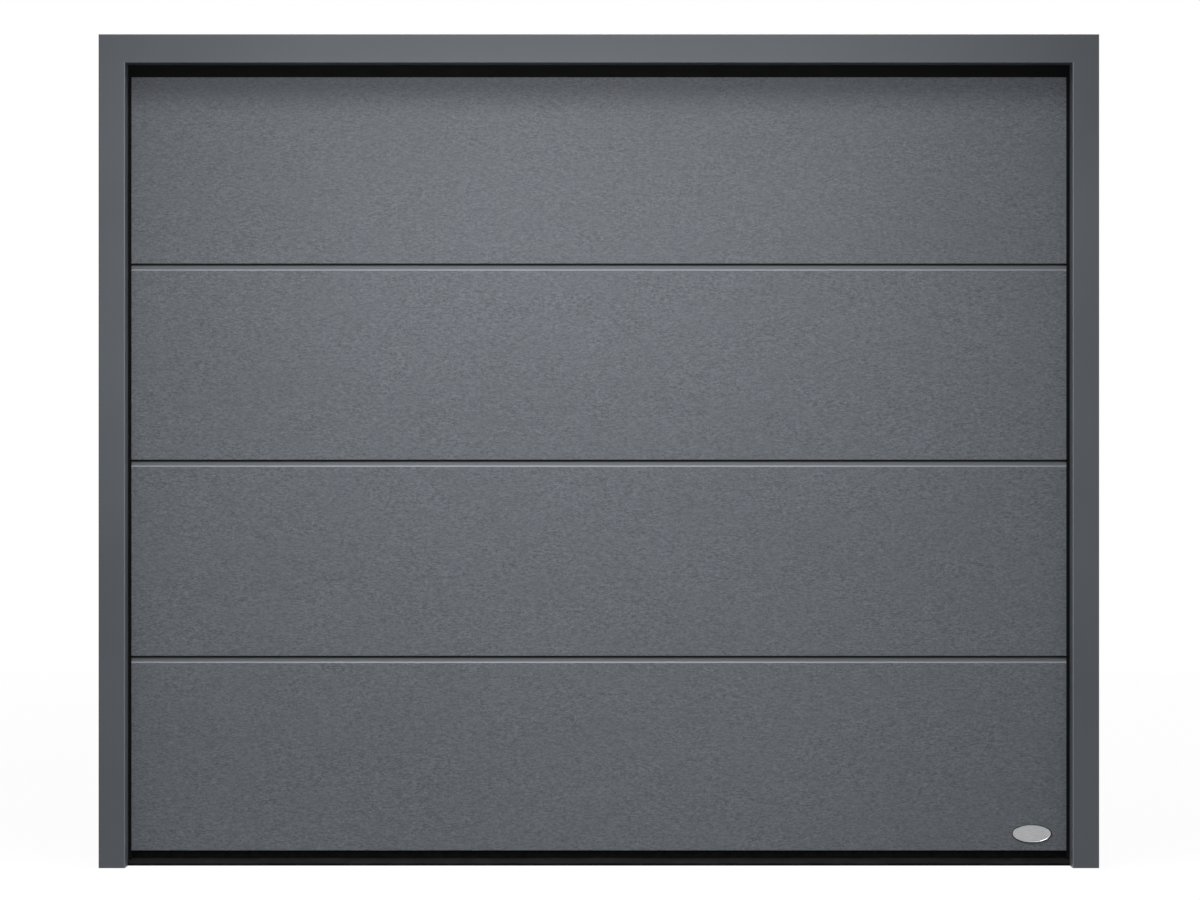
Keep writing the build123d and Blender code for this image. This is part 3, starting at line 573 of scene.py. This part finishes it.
SHAFT_Y = (SHAFT_LOW.y + SHAFT_HIGH.y) / 2
SHAFT_Z = (SHAFT_LOW.z + SHAFT_HIGH.z) / 2
CABLE_LOW, CABLE_HIGH = spans("right_lift_cable")
CABLE_X = (CABLE_LOW.x + CABLE_HIGH.x) / 2
PULLEY_LOW, PULLEY_HIGH = spans("cable_pulleys")
PULLEY_Y = (PULLEY_LOW.y + PULLEY_HIGH.y) / 2
PULLEY_Z = (PULLEY_LOW.z + PULLEY_HIGH.z) / 2
BAR_LOW = spans("rear_spreader_bar")[0]

# Sizes and places that the model's boxes don't give
SHEET = 3  # plates, brackets and hangers
PLATE = OUTER + SHEET  # outer face of the plates beside the tracks
BRACKET_EDGE = INNER + 7  # inner edge of what is screwed on the frame
HINGE_Y = CAP + 7  # axis of the pins
LEAF_SHEET = 2.5  # hinge leaves
SIDE_X = LEAF_SIDE - 35  # middle of side hinges, carriers and brackets
STUD_Y, STUD_Z = BACK + 14, LEAF_LOW.z + 34  # cable's stud on the foot bracket
STEM_RADIUS = 5.5
FOOT_STEM = spans("roller_stems")[0].z + STEM_RADIUS
JOINT_STEMS = [joint - 35 for joint in JOINTS]
STEMS = [FOOT_STEM, *JOINT_STEMS, UPPER_Z]
WHEEL_X = (INNER + OUTER) / 2
SHAFT_BORE = 13.1  # radius of the bores of drums and cones
CABLE_ON_PULLEY, CABLE_ON_DRUM = 32, 55  # radius of the cable's middle line
DRUM_PITCH = 4.6  # from groove to groove
SPRING_LENGTH = 680
SPRING_END = spans("torsion_springs")[1].x
SPRING_START = SPRING_END - SPRING_LENGTH


# Foot seal and badge
def make_foot_seal():
    """Rubber under the leaf, with the rounded lip that reaches into the doorway."""
    low, high = spans("bottom_seal")
    lip_end = 1249.7
    back = [(BACK, high.z), (BACK, FOOT), (FRONT, FOOT), (FRONT, high.z)]
    shape = Shape()
    shape.plate(rounded(back, 2), "x", -high.x, high.x)
    lip = [
        (FRONT, high.z),
        (FRONT - 6, FOOT + 13),
        (low.y, FOOT + 6.5),
        (low.y + 1.5, FOOT),
        (FRONT, FOOT),
    ]
    shape.plate(rounded(lip, 1.6), "x", -lip_end, lip_end)
    shape.piece("foot_seal", "black_rubber", ["bottom_seal"])


def make_badge():
    """Bare oval plate with a raised rim, in a thin black ring that stands in for the shadow
    round its edge.
    """
    low, high = spans("badge_plate")
    x, z = (low.x + high.x) / 2, (low.z + high.z) / 2
    half, ratio = (high.x - low.x) / 2, (high.z - low.z) / (high.x - low.x)
    face = low.y
    # Painted shade: a black ring that stands for the shadow gap round the plate's edge
    shadow_bezel = Shape()
    edge = [(high.y, half), (face + 1.4, half), (face + 0.9, half - 0.5), (face + 0.9, half - 3)]
    shadow_bezel.turned(edge, "y", x, z, 96, squash=ratio)
    shadow_bezel.piece("badge_shadow_bezel", "black_plastic", ["badge_plate"])
    plate = Shape()
    profile = [
        (face + 1.2, half - 1.9),
        (face + 0.5, half - 2.2),
        (face, half - 3),
        (face, half - 3.8),
        (face + 0.4, half - 4.6),
        (face + 0.8, half - 5.4),
        (face + 0.8, half - 14),
        (face + 0.5, half * 0.4),
        (face + 0.4, 0.5),
    ]
    plate.turned(profile, "y", x, z, 96, squash=ratio)
    plate.piece("oval_badge", "badge_metal")


make_foot_seal()
make_badge()


# Hinges
def knuckle(shape, x, width, joint, way):
    """Sheet that rises from its leaf and curls round the pin; way is 1 above the joint."""
    radius, half_sheet, rise, curl, steps = 5.75, 1.2, 9, math.radians(310), 20
    path = [(HINGE_Y - radius, joint + way * rise)]
    for step in range(steps + 1):
        turn = math.pi - curl * step / steps
        path.append((HINGE_Y + radius * math.cos(turn), joint - way * radius * math.sin(turn)))
    outer, inner = [], []
    for i, here in enumerate(path):
        a, b = path[max(i - 1, 0)], path[min(i + 1, len(path) - 1)]
        length = math.dist(a, b)
        normal = (-(b[1] - a[1]) / length * half_sheet, (b[0] - a[0]) / length * half_sheet)
        outer.append((here[0] + normal[0], here[1] + normal[1]))
        inner.append((here[0] - normal[0], here[1] - normal[1]))
    shape.plate(outer + inner[::-1], "x", x - width / 2, x + width / 2)


def make_leaves(screws, name, node, places, base, way, knuckles):
    """Hinge leaves of one side of the joints, with their knuckles and screws."""
    shape = Shape()
    width, height, offset, screw_rise, screw_radius = 60, 52, 34, 8, 2.6
    face = CAP + LEAF_SHEET
    for x in places:
        screw_places = (x - 18, x + 18)
        for joint in JOINTS:
            centre = joint + way * offset
            screw_z = centre + way * screw_rise
            holes = [circle(u, screw_z, screw_radius, 12) for u in screw_places]
            shape.plate(box(x, centre, width, height, 5), "y", base, face, holes)
            for start, length in knuckles:
                knuckle(shape, x + start, length, joint, way)
            for u in screw_places:
                hex_head(screws, "y", u, screw_z, face, SCREW)
    shape.piece(name, "galvanised_steel", [node], bevel=0.3)


def make_hinges():
    """Four rows of hinge leaves, the pins and the screws."""
    # Knuckles as (place from the hinge's middle, length)
    outer, middle = [(-20.5, 19), (20.5, 19)], [(0, 21.4)]
    centres, sides = (-430, 430), (-SIDE_X, SIDE_X)
    screws = Shape()
    for row in (
        ("centre_leaves_low", "centre_hinge_lower_leaves", centres, BACK, -1, outer),
        ("centre_leaves_high", "centre_hinge_upper_leaves", centres, BACK, 1, middle),
        ("side_leaves_high", "side_hinge_upper_leaves", sides, CAP, 1, middle),
    ):
        make_leaves(screws, *row)
    # The carriers stand on these leaves, so the screws of the carriers hold them too
    make_leaves(Shape(), "side_leaves_low", "side_hinge_lower_leaves", sides, CAP, -1, outer)
    screws.piece("hinge_screws", "pin_steel")
    pins = Shape()
    for x in centres + sides:
        ends = [(31, 4), (32, 3.7), (32.5, 2.5)]
        profile = [(x - w, radius) for w, radius in ends[::-1]]
        profile += [(x + w, radius) for w, radius in ends]
        for joint in JOINTS:
            pins.turned(profile, "x", HINGE_Y, joint, 24)
    pins.piece("pins", "pin_steel", ["hinge_pins"])


make_hinges()


# Roller carriers, foot and top brackets
def cheek(base, y, z, radius=12):
    """Outline of a cheek from its plate to the round end about a stem."""
    return [(base, z - radius), *half_round(y, z, radius), (base, z + radius)]


def fork(shape, screws, axis_z, base, low, high, width, outline):
    """Plate on the leaf with two cheeks that hold the stem."""
    middle = (low + high) / 2
    face = base + SHEET
    screw_inset, screw_radius, bore_radius = 9, 2.8, 5.9
    rows = [low + screw_inset, high - screw_inset]
    holes = [circle(x, z, screw_radius, 12) for x in (SIDE_X - 15, SIDE_X + 15) for z in rows]
    shape.plate(box(SIDE_X, middle, width, high - low, 4), "y", base, face, holes)
    bore = circle(ROLLER_Y, axis_z, bore_radius, 24)
    for side in (-1, 1):
        x = SIDE_X + side * 23.5
        shape.plate(outline, "x", x - SHEET / 2, x + SHEET / 2, [bore])
        for z in rows:
            hex_head(screws, "y", SIDE_X + side * 12, z, face, SCREW)


def make_carriers():
    """Roller carriers at the joints and the brackets at foot and top."""
    carriers, foot, top, screws = Shape(), Shape(), Shape(), Shape()
    base, carrier_width, bracket_width, top_height = CAP + LEAF_SHEET, 50, 65, 120
    for z in JOINT_STEMS:
        outline = cheek(base, ROLLER_Y, z)
        fork(carriers, screws, z, base, z - 25, z + 25, carrier_width, outline)
    carriers.mirrored().piece("carriers", "galvanised_steel", ["roller_carriers"], 0.35)

    low, high = spans("bottom_brackets")
    outline = cheek(CAP, ROLLER_Y, FOOT_STEM)
    fork(foot, screws, FOOT_STEM, CAP, low.z, high.z, bracket_width, outline)
    ear = SIDE_X + bracket_width / 2
    foot.plate(cheek(CAP, STUD_Y, STUD_Z), "x", ear - SHEET, ear)
    stud = [(ear - 0.5, 4), (CABLE_X + 3.2, 4), (CABLE_X + 3.3, 3)]
    foot.turned(stud, "x", STUD_Y, STUD_Z, 24)
    foot.mirrored().piece("foot_brackets", "galvanised_steel", ["bottom_brackets"], 0.35)

    high_z = LEAF_TOP - 5
    low_z = high_z - top_height
    outline = [
        (CAP, (low_z + high_z) / 2),
        (ROLLER_Y + 12, UPPER_Z - 24),
        (ROLLER_Y + 12, UPPER_Z + 2),
        (ROLLER_Y, UPPER_Z + 12),
        (ROLLER_Y - 12, UPPER_Z),
        (CAP, high_z),
    ]
    fork(top, screws, UPPER_Z, CAP, low_z, high_z, bracket_width, rounded(outline, 7))
    top.mirrored().piece("top_forks", "galvanised_steel", ["top_brackets"], 0.35)
    screws.mirrored().piece("carrier_screws", "pin_steel")


make_carriers()


def make_rollers():
    """Nylon wheels on bearings, and their steel stems."""
    wheels, stems = Shape(), Shape()
    a, b = WHEEL_X - 7, WHEEL_X + 7
    tyre = [
        (a, 13), (a, 20.6), (a + 1, 22), (a + 2.6, 22.9), (a + 4.6, 23),
        (b - 4.6, 23), (b - 2.6, 22.9), (b - 1, 22), (b, 20.6), (b, 13),
        (b - 2.4, 12.4), (b - 2.4, 9.6), (a + 2.4, 9.6), (a + 2.4, 12.4),
    ]
    race = [
        (a + 1.4, 9.5), (a + 1.4, 11.6), (b - 1.4, 11.6), (b - 1.4, 9.5),
        (b - 2.2, 9.1), (b - 2.2, 7.4), (b - 1.4, 7), (b - 1.4, 5.9),
        (a + 1.4, 5.9), (a + 1.4, 7), (a + 2.2, 7.4), (a + 2.2, 9.1),
    ]
    stem = [
        (b - 98, 3.8), (b - 97, 5.3), (b - 95.5, STEM_RADIUS),
        (b - 1, STEM_RADIUS), (b, 4.4),
    ]
    for z in STEMS:
        wheels.turned(tyre, "x", ROLLER_Y, z, 56, ring=True)
        stems.turned(race, "x", ROLLER_Y, z, 40, ring=True)
        stems.turned(stem, "x", ROLLER_Y, z, 28)
    wheels.mirrored().piece("wheels", "roller_nylon", ["roller_wheels"])
    stems.mirrored().piece("stems", "pin_steel", ["roller_stems"])


make_rollers()


# Tracks
def track_outline():
    """Rounded C with its mouth towards the leaf, as (across, x)."""
    mouth, side = 20, 27
    path = [
        (INNER, -mouth), (INNER, -side), (OUTER, -side),
        (OUTER, side), (INNER, side), (INNER, mouth),
    ]
    return [(u, x) for x, u in strip(path, 2, 5, 6)]


def make_tracks():
    """Upright, curved and level tracks of both sides."""
    outline = track_outline()
    bend = []
    for step in range(33):
        turn = math.pi / 2 * step / 32
        along, up = math.cos(turn), math.sin(turn)
        bend.append(
            (CURVE_Y - CURVE_RADIUS * along, CURVE_START + CURVE_RADIUS * up, along, -up)
        )
    runs = {
        "vertical_track": [(ROLLER_Y, TRACK_LOW.z, 1, 0), (ROLLER_Y, CURVE_START, 1, 0)],
        "curved_track": bend,
        "lower_horizontal_track": [(CURVE_Y, LOWER_Z, 0, -1), (TRACK_END, LOWER_Z, 0, -1)],
        "upper_horizontal_track": [(UPPER_LOW.y, UPPER_Z, 0, -1), (TRACK_END, UPPER_Z, 0, -1)],
    }
    for name, stations in runs.items():
        for side, way in (("left", -1), ("right", 1)):
            shape = Shape()
            shape.swept([(u, way * x) for u, x in outline], stations)
            shape.piece(f"{side}_{name}_bent", "galvanised_steel", [f"{side}_{name}"])


make_tracks()


def slots(u, v, du, dv, count, length, width, upright=True):
    """Row of count long holes from (u, v) on, each du and dv further than the last."""
    w, h = (width, length) if upright else (length, width)
    return [box(u + du * i, v + dv * i, w, h, min(w, h) / 2) for i in range(count)]


def make_brackets(bolts):
    """Slotted angles that hold the upright tracks on the frame."""
    shape = Shape()
    low, high = spans("track_brackets")
    height = 50
    for rise in (500, 1000, 1500):
        middle = FOOT + rise + height / 2
        flat = box((BRACKET_EDGE + PLATE) / 2, middle, PLATE - BRACKET_EDGE, height)
        shape.plate(flat, "y", low.y, low.y + SHEET)
        holes = slots(ROLLER_Y - 12, middle, 24, 0, 2, 16, 8.5, upright=False)
        outline = box((low.y + high.y) / 2, middle, high.y - low.y, height, 3)
        shape.plate(outline, "x", OUTER, PLATE, holes)
        for y in (ROLLER_Y - 12, ROLLER_Y + 12):
            hex_head(bolts, "x", y, middle, PLATE, BOLT)
    shape.mirrored().piece("slotted_brackets", "galvanised_steel", ["track_brackets"], 0.3)


def make_corners(bolts):
    """Plates that join frame and tracks at the curve, with the pulleys' axles."""
    shape = Shape()
    low, high = spans("corner_plates")
    reach = 250
    turns = [math.pi / 2 * i / 24 for i in range(25)]
    outline = [
        (high.y, CURVE_START + reach),
        *[(CURVE_Y - reach * math.sin(t), CURVE_START + reach * math.cos(t)) for t in turns],
        (CURVE_Y - reach, low.z),
        (low.y, low.z),
        (low.y, high.z),
        (high.y, high.z),
    ]
    holes = slots(low.y + 16, low.z + 25, 0, 60, 7, 20, 9)
    holes += slots(high.y - 40, high.z - 10, -52, 0, 5, 20, 7, upright=False)
    for y, z in ((CURVE_Y - 270, LOWER_Z - 54), (CURVE_Y - 210, LOWER_Z - 42)):
        holes.append(circle(y, z, 5, 16))
    shape.plate(outline, "x", OUTER, PLATE, holes)

    width = OUTER - BRACKET_EDGE
    middle = BRACKET_EDGE + width / 2
    flange = box(middle, (low.z + high.z) / 2, width, high.z - low.z)
    holes = slots(middle, low.z + 40, 0, 75, 6, 18, 8)
    shape.plate(flange, "y", low.y, low.y + SHEET, holes)
    axle = [(CABLE_X - 4.8, 5), (CABLE_X - 4.3, 6), (OUTER, 6)]
    shape.turned(axle, "x", PULLEY_Y, PULLEY_Z, 24)
    shape.mirrored().piece("slotted_corners", "galvanised_steel", ["corner_plates"], 0.3)
    for y, z in (
        (ROLLER_Y - 8, CURVE_START - 30),
        (ROLLER_Y + 10, CURVE_START - 30),
        (CURVE_Y + 20, LOWER_Z),
        (CURVE_Y + 60, LOWER_Z),
        (CURVE_Y + 20, UPPER_Z),
        (CURVE_Y - 160, UPPER_Z),
        (ROLLER_Y + 20, UPPER_Z),
        (PULLEY_Y, PULLEY_Z),
    ):
        hex_head(bolts, "x", y, z, PLATE, BOLT)


def make_rears(bolts):
    """Plates that hold the tracks' rear ends and the shaft's bearings."""
    shape = Shape()
    low, high = spans("rear_plates")
    bore = 13.3
    outline = [
        (low.y, low.z),
        (low.y, UPPER_Z + 27),
        (TRACK_END, high.z),
        (high.y, high.z),
        (high.y, BAR_LOW.z),
        (SHAFT_Y, low.z),
    ]
    holes = [circle(SHAFT_Y, SHAFT_Z, bore, 40)]
    for y, z in ((-60, 45), (70, 48)):
        holes.append(circle(SHAFT_Y + y, SHAFT_Z + z, 4.5, 16))
    shape.plate(rounded(outline, 5), "x", OUTER, PLATE, holes)
    bearing = [
        (PLATE, bore), (PLATE, 25.4), (PLATE + 3, 25.2),
        (PLATE + 4, 20.5), (PLATE + 6, 20), (PLATE + 6, bore),
    ]
    shape.turned(bearing, "x", SHAFT_Y, SHAFT_Z, 48, ring=True)
    shape.mirrored().piece("rear_side_plates", "galvanised_steel", ["rear_plates"], 0.3)
    for y, z in (
        (TRACK_END - 80, LOWER_Z),
        (TRACK_END - 20, LOWER_Z),
        (TRACK_END - 80, UPPER_Z),
        (TRACK_END - 20, UPPER_Z),
        (BAR_LOW.y + 15, SHAFT_Z - 16),
        (BAR_LOW.y + 15, SHAFT_Z + 16),
    ):
        hex_head(bolts, "x", y, z, PLATE, BOLT)


def make_plates():
    """Brackets and plates of the tracks, and the bolts through all of them."""
    bolts = Shape()
    make_brackets(bolts)
    make_corners(bolts)
    make_rears(bolts)
    bolts.mirrored().piece("track_bolts", "pin_steel")


make_plates()


def make_hangers():
    """Perforated angles under drilled top plates."""
    shape, bolts = Shape(), Shape()
    low, high = spans("ceiling_hangers")
    height = high.z - low.z - SHEET
    middle = low.z + height / 2
    for y, face in ((1400, OUTER), (TRACK_END - 50, PLATE)):
        wide = slots(y + 2, low.z + 30, 0, 40, 6, 22, 9)
        shape.plate(box(y, middle, 40, height), "x", face, face + SHEET, wide)
        narrow = slots(face + 14, low.z + 30, 0, 40, 6, 18, 7)
        shape.plate(box(face + 13.5, middle, 21, height), "y", y - 20, y - 17, narrow)
        top = box(face + 12, y + 10, 24, 60, 2)
        hole = circle(face + 12, y + 20, 4.5, 24)
        shape.plate(top, "z", high.z - SHEET, high.z, [hole])
        for z in (LOWER_Z, UPPER_Z):
            hex_head(bolts, "x", y + 2, z, face + SHEET, BOLT)
    shape.mirrored().piece("perforated_hangers", "galvanised_steel", ["ceiling_hangers"], 0.25)
    bolts.mirrored().piece("hanger_bolts", "pin_steel")


make_hangers()


# Spring shaft
def round_shaft(radius, turn):
    """Point (y, z) at a radius from the shaft's axis."""
    return SHAFT_Y + radius * math.cos(turn), SHAFT_Z + radius * math.sin(turn)


def make_springs():
    """Close-wound coils on both sides of the anchor."""
    wire, mean_radius, pitch = 5.8, 23.0, 6.05
    turns = int(SPRING_LENGTH / pitch)
    steps = turns * 26
    for side, way in (("left", -1), ("right", 1)):
        shape = Shape()
        path = []
        for i in range(steps + 1):
            share = i / steps
            x = SPRING_START + wire / 2 + (SPRING_LENGTH - wire) * share
            path.append((way * x, *round_shaft(mean_radius, way * math.tau * turns * share)))
        shape.tube(path, wire / 2, 8)
        names = ["torsion_springs"] if side == "right" else []
        shape.piece(f"{side}_coil", "spring_steel", names)


def make_shaft_tube():
    """Hollow shaft with chamfered ends."""
    shape = Shape()
    a, b = SHAFT_LOW.x, SHAFT_HIGH.x
    profile = [(a, 9.7), (a, 12.4), (a + 0.5, 12.7), (b - 0.5, 12.7), (b, 12.4), (b, 9.7)]
    shape.turned(profile, "x", SHAFT_Y, SHAFT_Z, 48, ring=True)
    shape.piece("shaft_tube", "galvanised_steel", ["spring_shaft"])


def make_cones(screws):
    """Still cones at the anchor, and winding cones with bosses and set screws."""
    shape = Shape()
    a, e = SPRING_START, SPRING_END
    still = [
        (a - 18, SHAFT_BORE), (a - 18, 30), (a - 16.5, 32), (a - 5, 32),
        (a - 3, 30.5), (a, 28), (a, SHAFT_BORE),
    ]
    winding = [
        (e, SHAFT_BORE), (e, 27), (e + 3, 30.5), (e + 6, 32), (e + 15, 32), (e + 18, 29),
        (e + 20, 26.5), (e + 41, 26.5), (e + 44, 25), (e + 45, 23), (e + 45, SHAFT_BORE),
    ]
    for profile in (still, winding):
        shape.turned(profile, "x", SHAFT_Y, SHAFT_Z, 56, ring=True)
    for quarter in range(4):
        turn = math.pi / 4 + math.pi / 2 * quarter
        shape.tube([(e + 30, *round_shaft(r, turn)) for r in (24, 31.5)], 7.5, 20)
    for turn in (math.pi / 2, -math.pi / 2):
        screws.tube([(e + 38, *round_shaft(r, turn)) for r in (25, 31.8)], 4.2, 4)
    shape.mirrored().piece("cones", "cast_metal", ["winding_cones"])


def make_drums(screws):
    """Cable drums with one groove for each turn, and their set screws."""
    shape = Shape()
    b = spans("cable_drums")[1].x
    a = b - 38
    profile = [
        (a, SHAFT_BORE), (a, 24), (a + 1, 26), (a + 1, 60),
        (a + 1.6, 61), (a + 3.2, 61), (a + 4, 60), (a + 4, 53.5),
    ]
    groove = a + 5
    while groove < b - 8:
        profile += [
            (groove, 53.4), (groove + 1.2, 52.7), (groove + 2.4, 52.7), (groove + 3.6, 53.4),
        ]
        groove += DRUM_PITCH
    profile += [
        (b - 4, 53.5), (b - 4, 60), (b - 3.2, 61), (b - 1.2, 61), (b, 60), (b, SHAFT_BORE),
    ]
    shape.turned(profile, "x", SHAFT_Y, SHAFT_Z, 72, ring=True)
    for turn in (0.4, 2.5):
        place = round_shaft(18, turn)
        screws.tube([(a - 4, *place), (a + 1, *place)], 4.5, 4)
    shape.mirrored().piece("drums", "cast_metal", ["cable_drums"])


def make_shaft():
    """Shaft, cones and drums, and the set screws that hold them."""
    screws = Shape()
    make_shaft_tube()
    make_cones(screws)
    make_drums(screws)
    screws.mirrored().piece("set_screws", "pin_steel")


make_springs()
make_shaft()


def make_pulleys():
    """Grooved cable pulleys on their axles."""
    shape = Shape()
    half = [
        (4.5, 6.3), (4.5, 14), (3.5, 15), (3.5, 30), (4.5, 31), (4.5, 36.4),
        (3.9, 37), (3.1, 37), (1.9, 31.2), (1.2, 29.8),
    ]
    profile = [(CABLE_X - w, radius) for w, radius in half]
    profile.append((CABLE_X, 29.6))
    profile += [(CABLE_X + w, radius) for w, radius in half[::-1]]
    shape.turned(profile, "x", PULLEY_Y, PULLEY_Z, 64, ring=True)
    shape.mirrored().piece("pulleys", "black_plastic", ["cable_pulleys"])


make_pulleys()


# Lift cables
def cable_line():
    """Points of (x, y, z) from the stud over the pulley to the drum, closely spaced."""
    spacing, drum_turns, drum_steps = 5, 2.3, 149
    path = []
    z = STUD_Z + 7
    while z < PULLEY_Z:
        path.append((CABLE_X, STUD_Y, z))
        z += spacing
    for step in range(12):
        turn = math.pi - math.pi / 2 * step / 11
        y = PULLEY_Y + CABLE_ON_PULLEY * math.cos(turn)
        path.append((CABLE_X, y, PULLEY_Z + CABLE_ON_PULLEY * math.sin(turn)))
    y = PULLEY_Y + spacing
    while y < SHAFT_Y:
        path.append((CABLE_X, y, PULLEY_Z + CABLE_ON_PULLEY))
        y += spacing
    for step in range(drum_steps + 1):
        wound = drum_turns * step / drum_steps
        place = round_shaft(CABLE_ON_DRUM, math.tau * wound - math.pi / 2)
        path.append((CABLE_X - DRUM_PITCH * wound, *place))
    return path


def make_cables():
    """Six twisted strands a side, with an eye and a pressed sleeve at the foot."""
    strands, lay, strand_radius, twist_radius = 6, 32, 0.74, 1.22
    line = [Vector(point) for point in cable_line()]
    walked = [0.0]
    for a, b in zip(line, line[1:]):
        walked.append(walked[-1] + (b - a).length)
    across = Vector((1, 0, 0))
    for side, way in (("left", -1), ("right", 1)):
        shape = Shape()
        for strand in range(strands):
            path = []
            for i, here in enumerate(line):
                ahead = (line[min(i + 1, len(line) - 1)] - line[max(i - 1, 0)]).normalized()
                out = (across - ahead * across.dot(ahead)).normalized()
                up = ahead.cross(out)
                turn = math.tau * (strand / strands + walked[i] / lay)
                point = here + twist_radius * (out * math.cos(turn) + up * math.sin(turn))
                path.append((way * point.x, point.y, point.z))
            shape.tube(path, strand_radius, 5)
        x = way * CABLE_X
        eye = [(x, *point) for point in circle(STUD_Y, STUD_Z, 6.3, 32)]
        shape.tube([*eye, eye[0]], 1.9, 10)
        shape.tube([(x, STUD_Y, STUD_Z + 9), (x, STUD_Y, STUD_Z + 30)], 2.9, 16)
        shape.piece(f"{side}_cable_strands", "cable_steel", [f"{side}_lift_cable"])


make_cables()


# Small fixings
def make_screws():
    """Screws of the end caps, and the anchor bracket's bolts."""
    shape = Shape()
    edges = [LEAF_LOW.z, *JOINTS, LEAF_TOP]
    for low, high in zip(edges, edges[1:]):
        for share in (0.2, 0.4, 0.6, 0.8):
            for inset in (55, 12):
                dome_head(shape, LEAF_SIDE - inset, low + (high - low) * share, CAP)
    shape.mirrored()
    for x in (-48, 48):
        for z in (-14, 14):
            hex_head(shape, "y", x, SHAFT_Z + z, BAR_LOW.y - 5, BAR_BOLT, -1)
    shape.piece("small_screws", "pin_steel")


make_screws()


# Floor, background and light
def shown_white(tree):
    """1 for the rays that meet the white background, and 0 for those that light the object."""
    rays = tree.nodes.new("ShaderNodeLightPath").outputs
    level = rays["Is Camera Ray"]
    for kind in ("Is Glossy Ray", "Is Transmission Ray"):
        most = tree.nodes.new("ShaderNodeMath")
        most.operation = "MAXIMUM"
        tree.links.new(level, most.inputs[0])
        tree.links.new(rays[kind], most.inputs[1])
        level = most.outputs[0]
    return level


def make_floor():
    """White floor that keeps the shadow near the object, and fades to plain white."""
    finish = Finish("floor_white", roughness=0.9, specular=0.1)
    tree = finish.tree
    seen = shown_white(tree)
    finish.colour(finish.mix(seen, (0.3, 0.3, 0.3, 1), (0.9, 0.9, 0.9, 1)))
    glow = finish.node("Emission", {"Color": (1, 1, 1, 1), "Strength": 1.0})
    # From 3 to 9 m away, as squares of the distance
    across, along = finish.along("X"), finish.along("Y")
    far = finish.maths("ADD", finish.times(across, across), finish.times(along, along))
    share = finish.times(seen, finish.span(far, 9, 80, 0.955, 1.0))
    both = {0: share, 1: finish.shader.outputs[0], 2: glow.outputs[0]}
    mixed = finish.node("MixShader", both)
    tree.links.new(mixed.outputs[0], tree.nodes["Material Output"].inputs["Surface"])
    mesh = bpy.data.meshes.new("floor")
    corners = box(0, 0, 60, 60)
    below = FLOOR - 0.0005
    mesh.from_pydata([(x, y, below) for x, y in corners], [], [[0, 1, 2, 3]])
    mesh.materials.append(finish.material)
    floor = bpy.data.objects.new("floor", mesh)
    scene.collection.objects.link(floor)


def make_world():
    """White background at strength 1, which lights the object at a lower level."""
    world = bpy.data.worlds.new("world")
    scene.world = world
    world.use_nodes = True
    tree = world.node_tree
    level = tree.nodes.new("ShaderNodeMapRange")
    level.inputs["To Min"].default_value = 0.22
    level.inputs["To Max"].default_value = 1.0
    tree.links.new(shown_white(tree), level.inputs["Value"])
    back = tree.nodes["Background"]
    back.inputs["Color"].default_value = (1, 1, 1, 1)
    tree.links.new(level.outputs["Result"], back.inputs["Strength"])


def lamp(name, place, aim, width, height, watts, spread=180):
    """Soft lamp of a width and height, with its spread in degrees."""
    data = bpy.data.lights.new(name, "AREA")
    data.shape = "RECTANGLE"
    data.size, data.size_y = width, height
    data.energy = watts
    data.spread = math.radians(spread)
    made = bpy.data.objects.new(name, data)
    made.location = place
    made.visible_camera = False
    made.rotation_euler = (Vector(aim) - Vector(place)).to_track_quat("-Z", "Y").to_euler()
    scene.collection.objects.link(made)


make_floor()
make_world()
# In front of the leaf, over the space in front of it, and behind the door
lamp("key", (-0.15, -1.8, -0.18), (-0.15, 0, -0.3), 2.2, 0.45, 15)
lamp("top", (-0.15, -1.3, 1.35), (-0.15, -1.0, -8), 2.8, 1.3, 68, 98)
lamp("back_key", (0.8, 5.2, 2.4), (0, 1.0, -0.9), 3.5, 2.0, 150)
scene.view_settings.view_transform = "Standard"
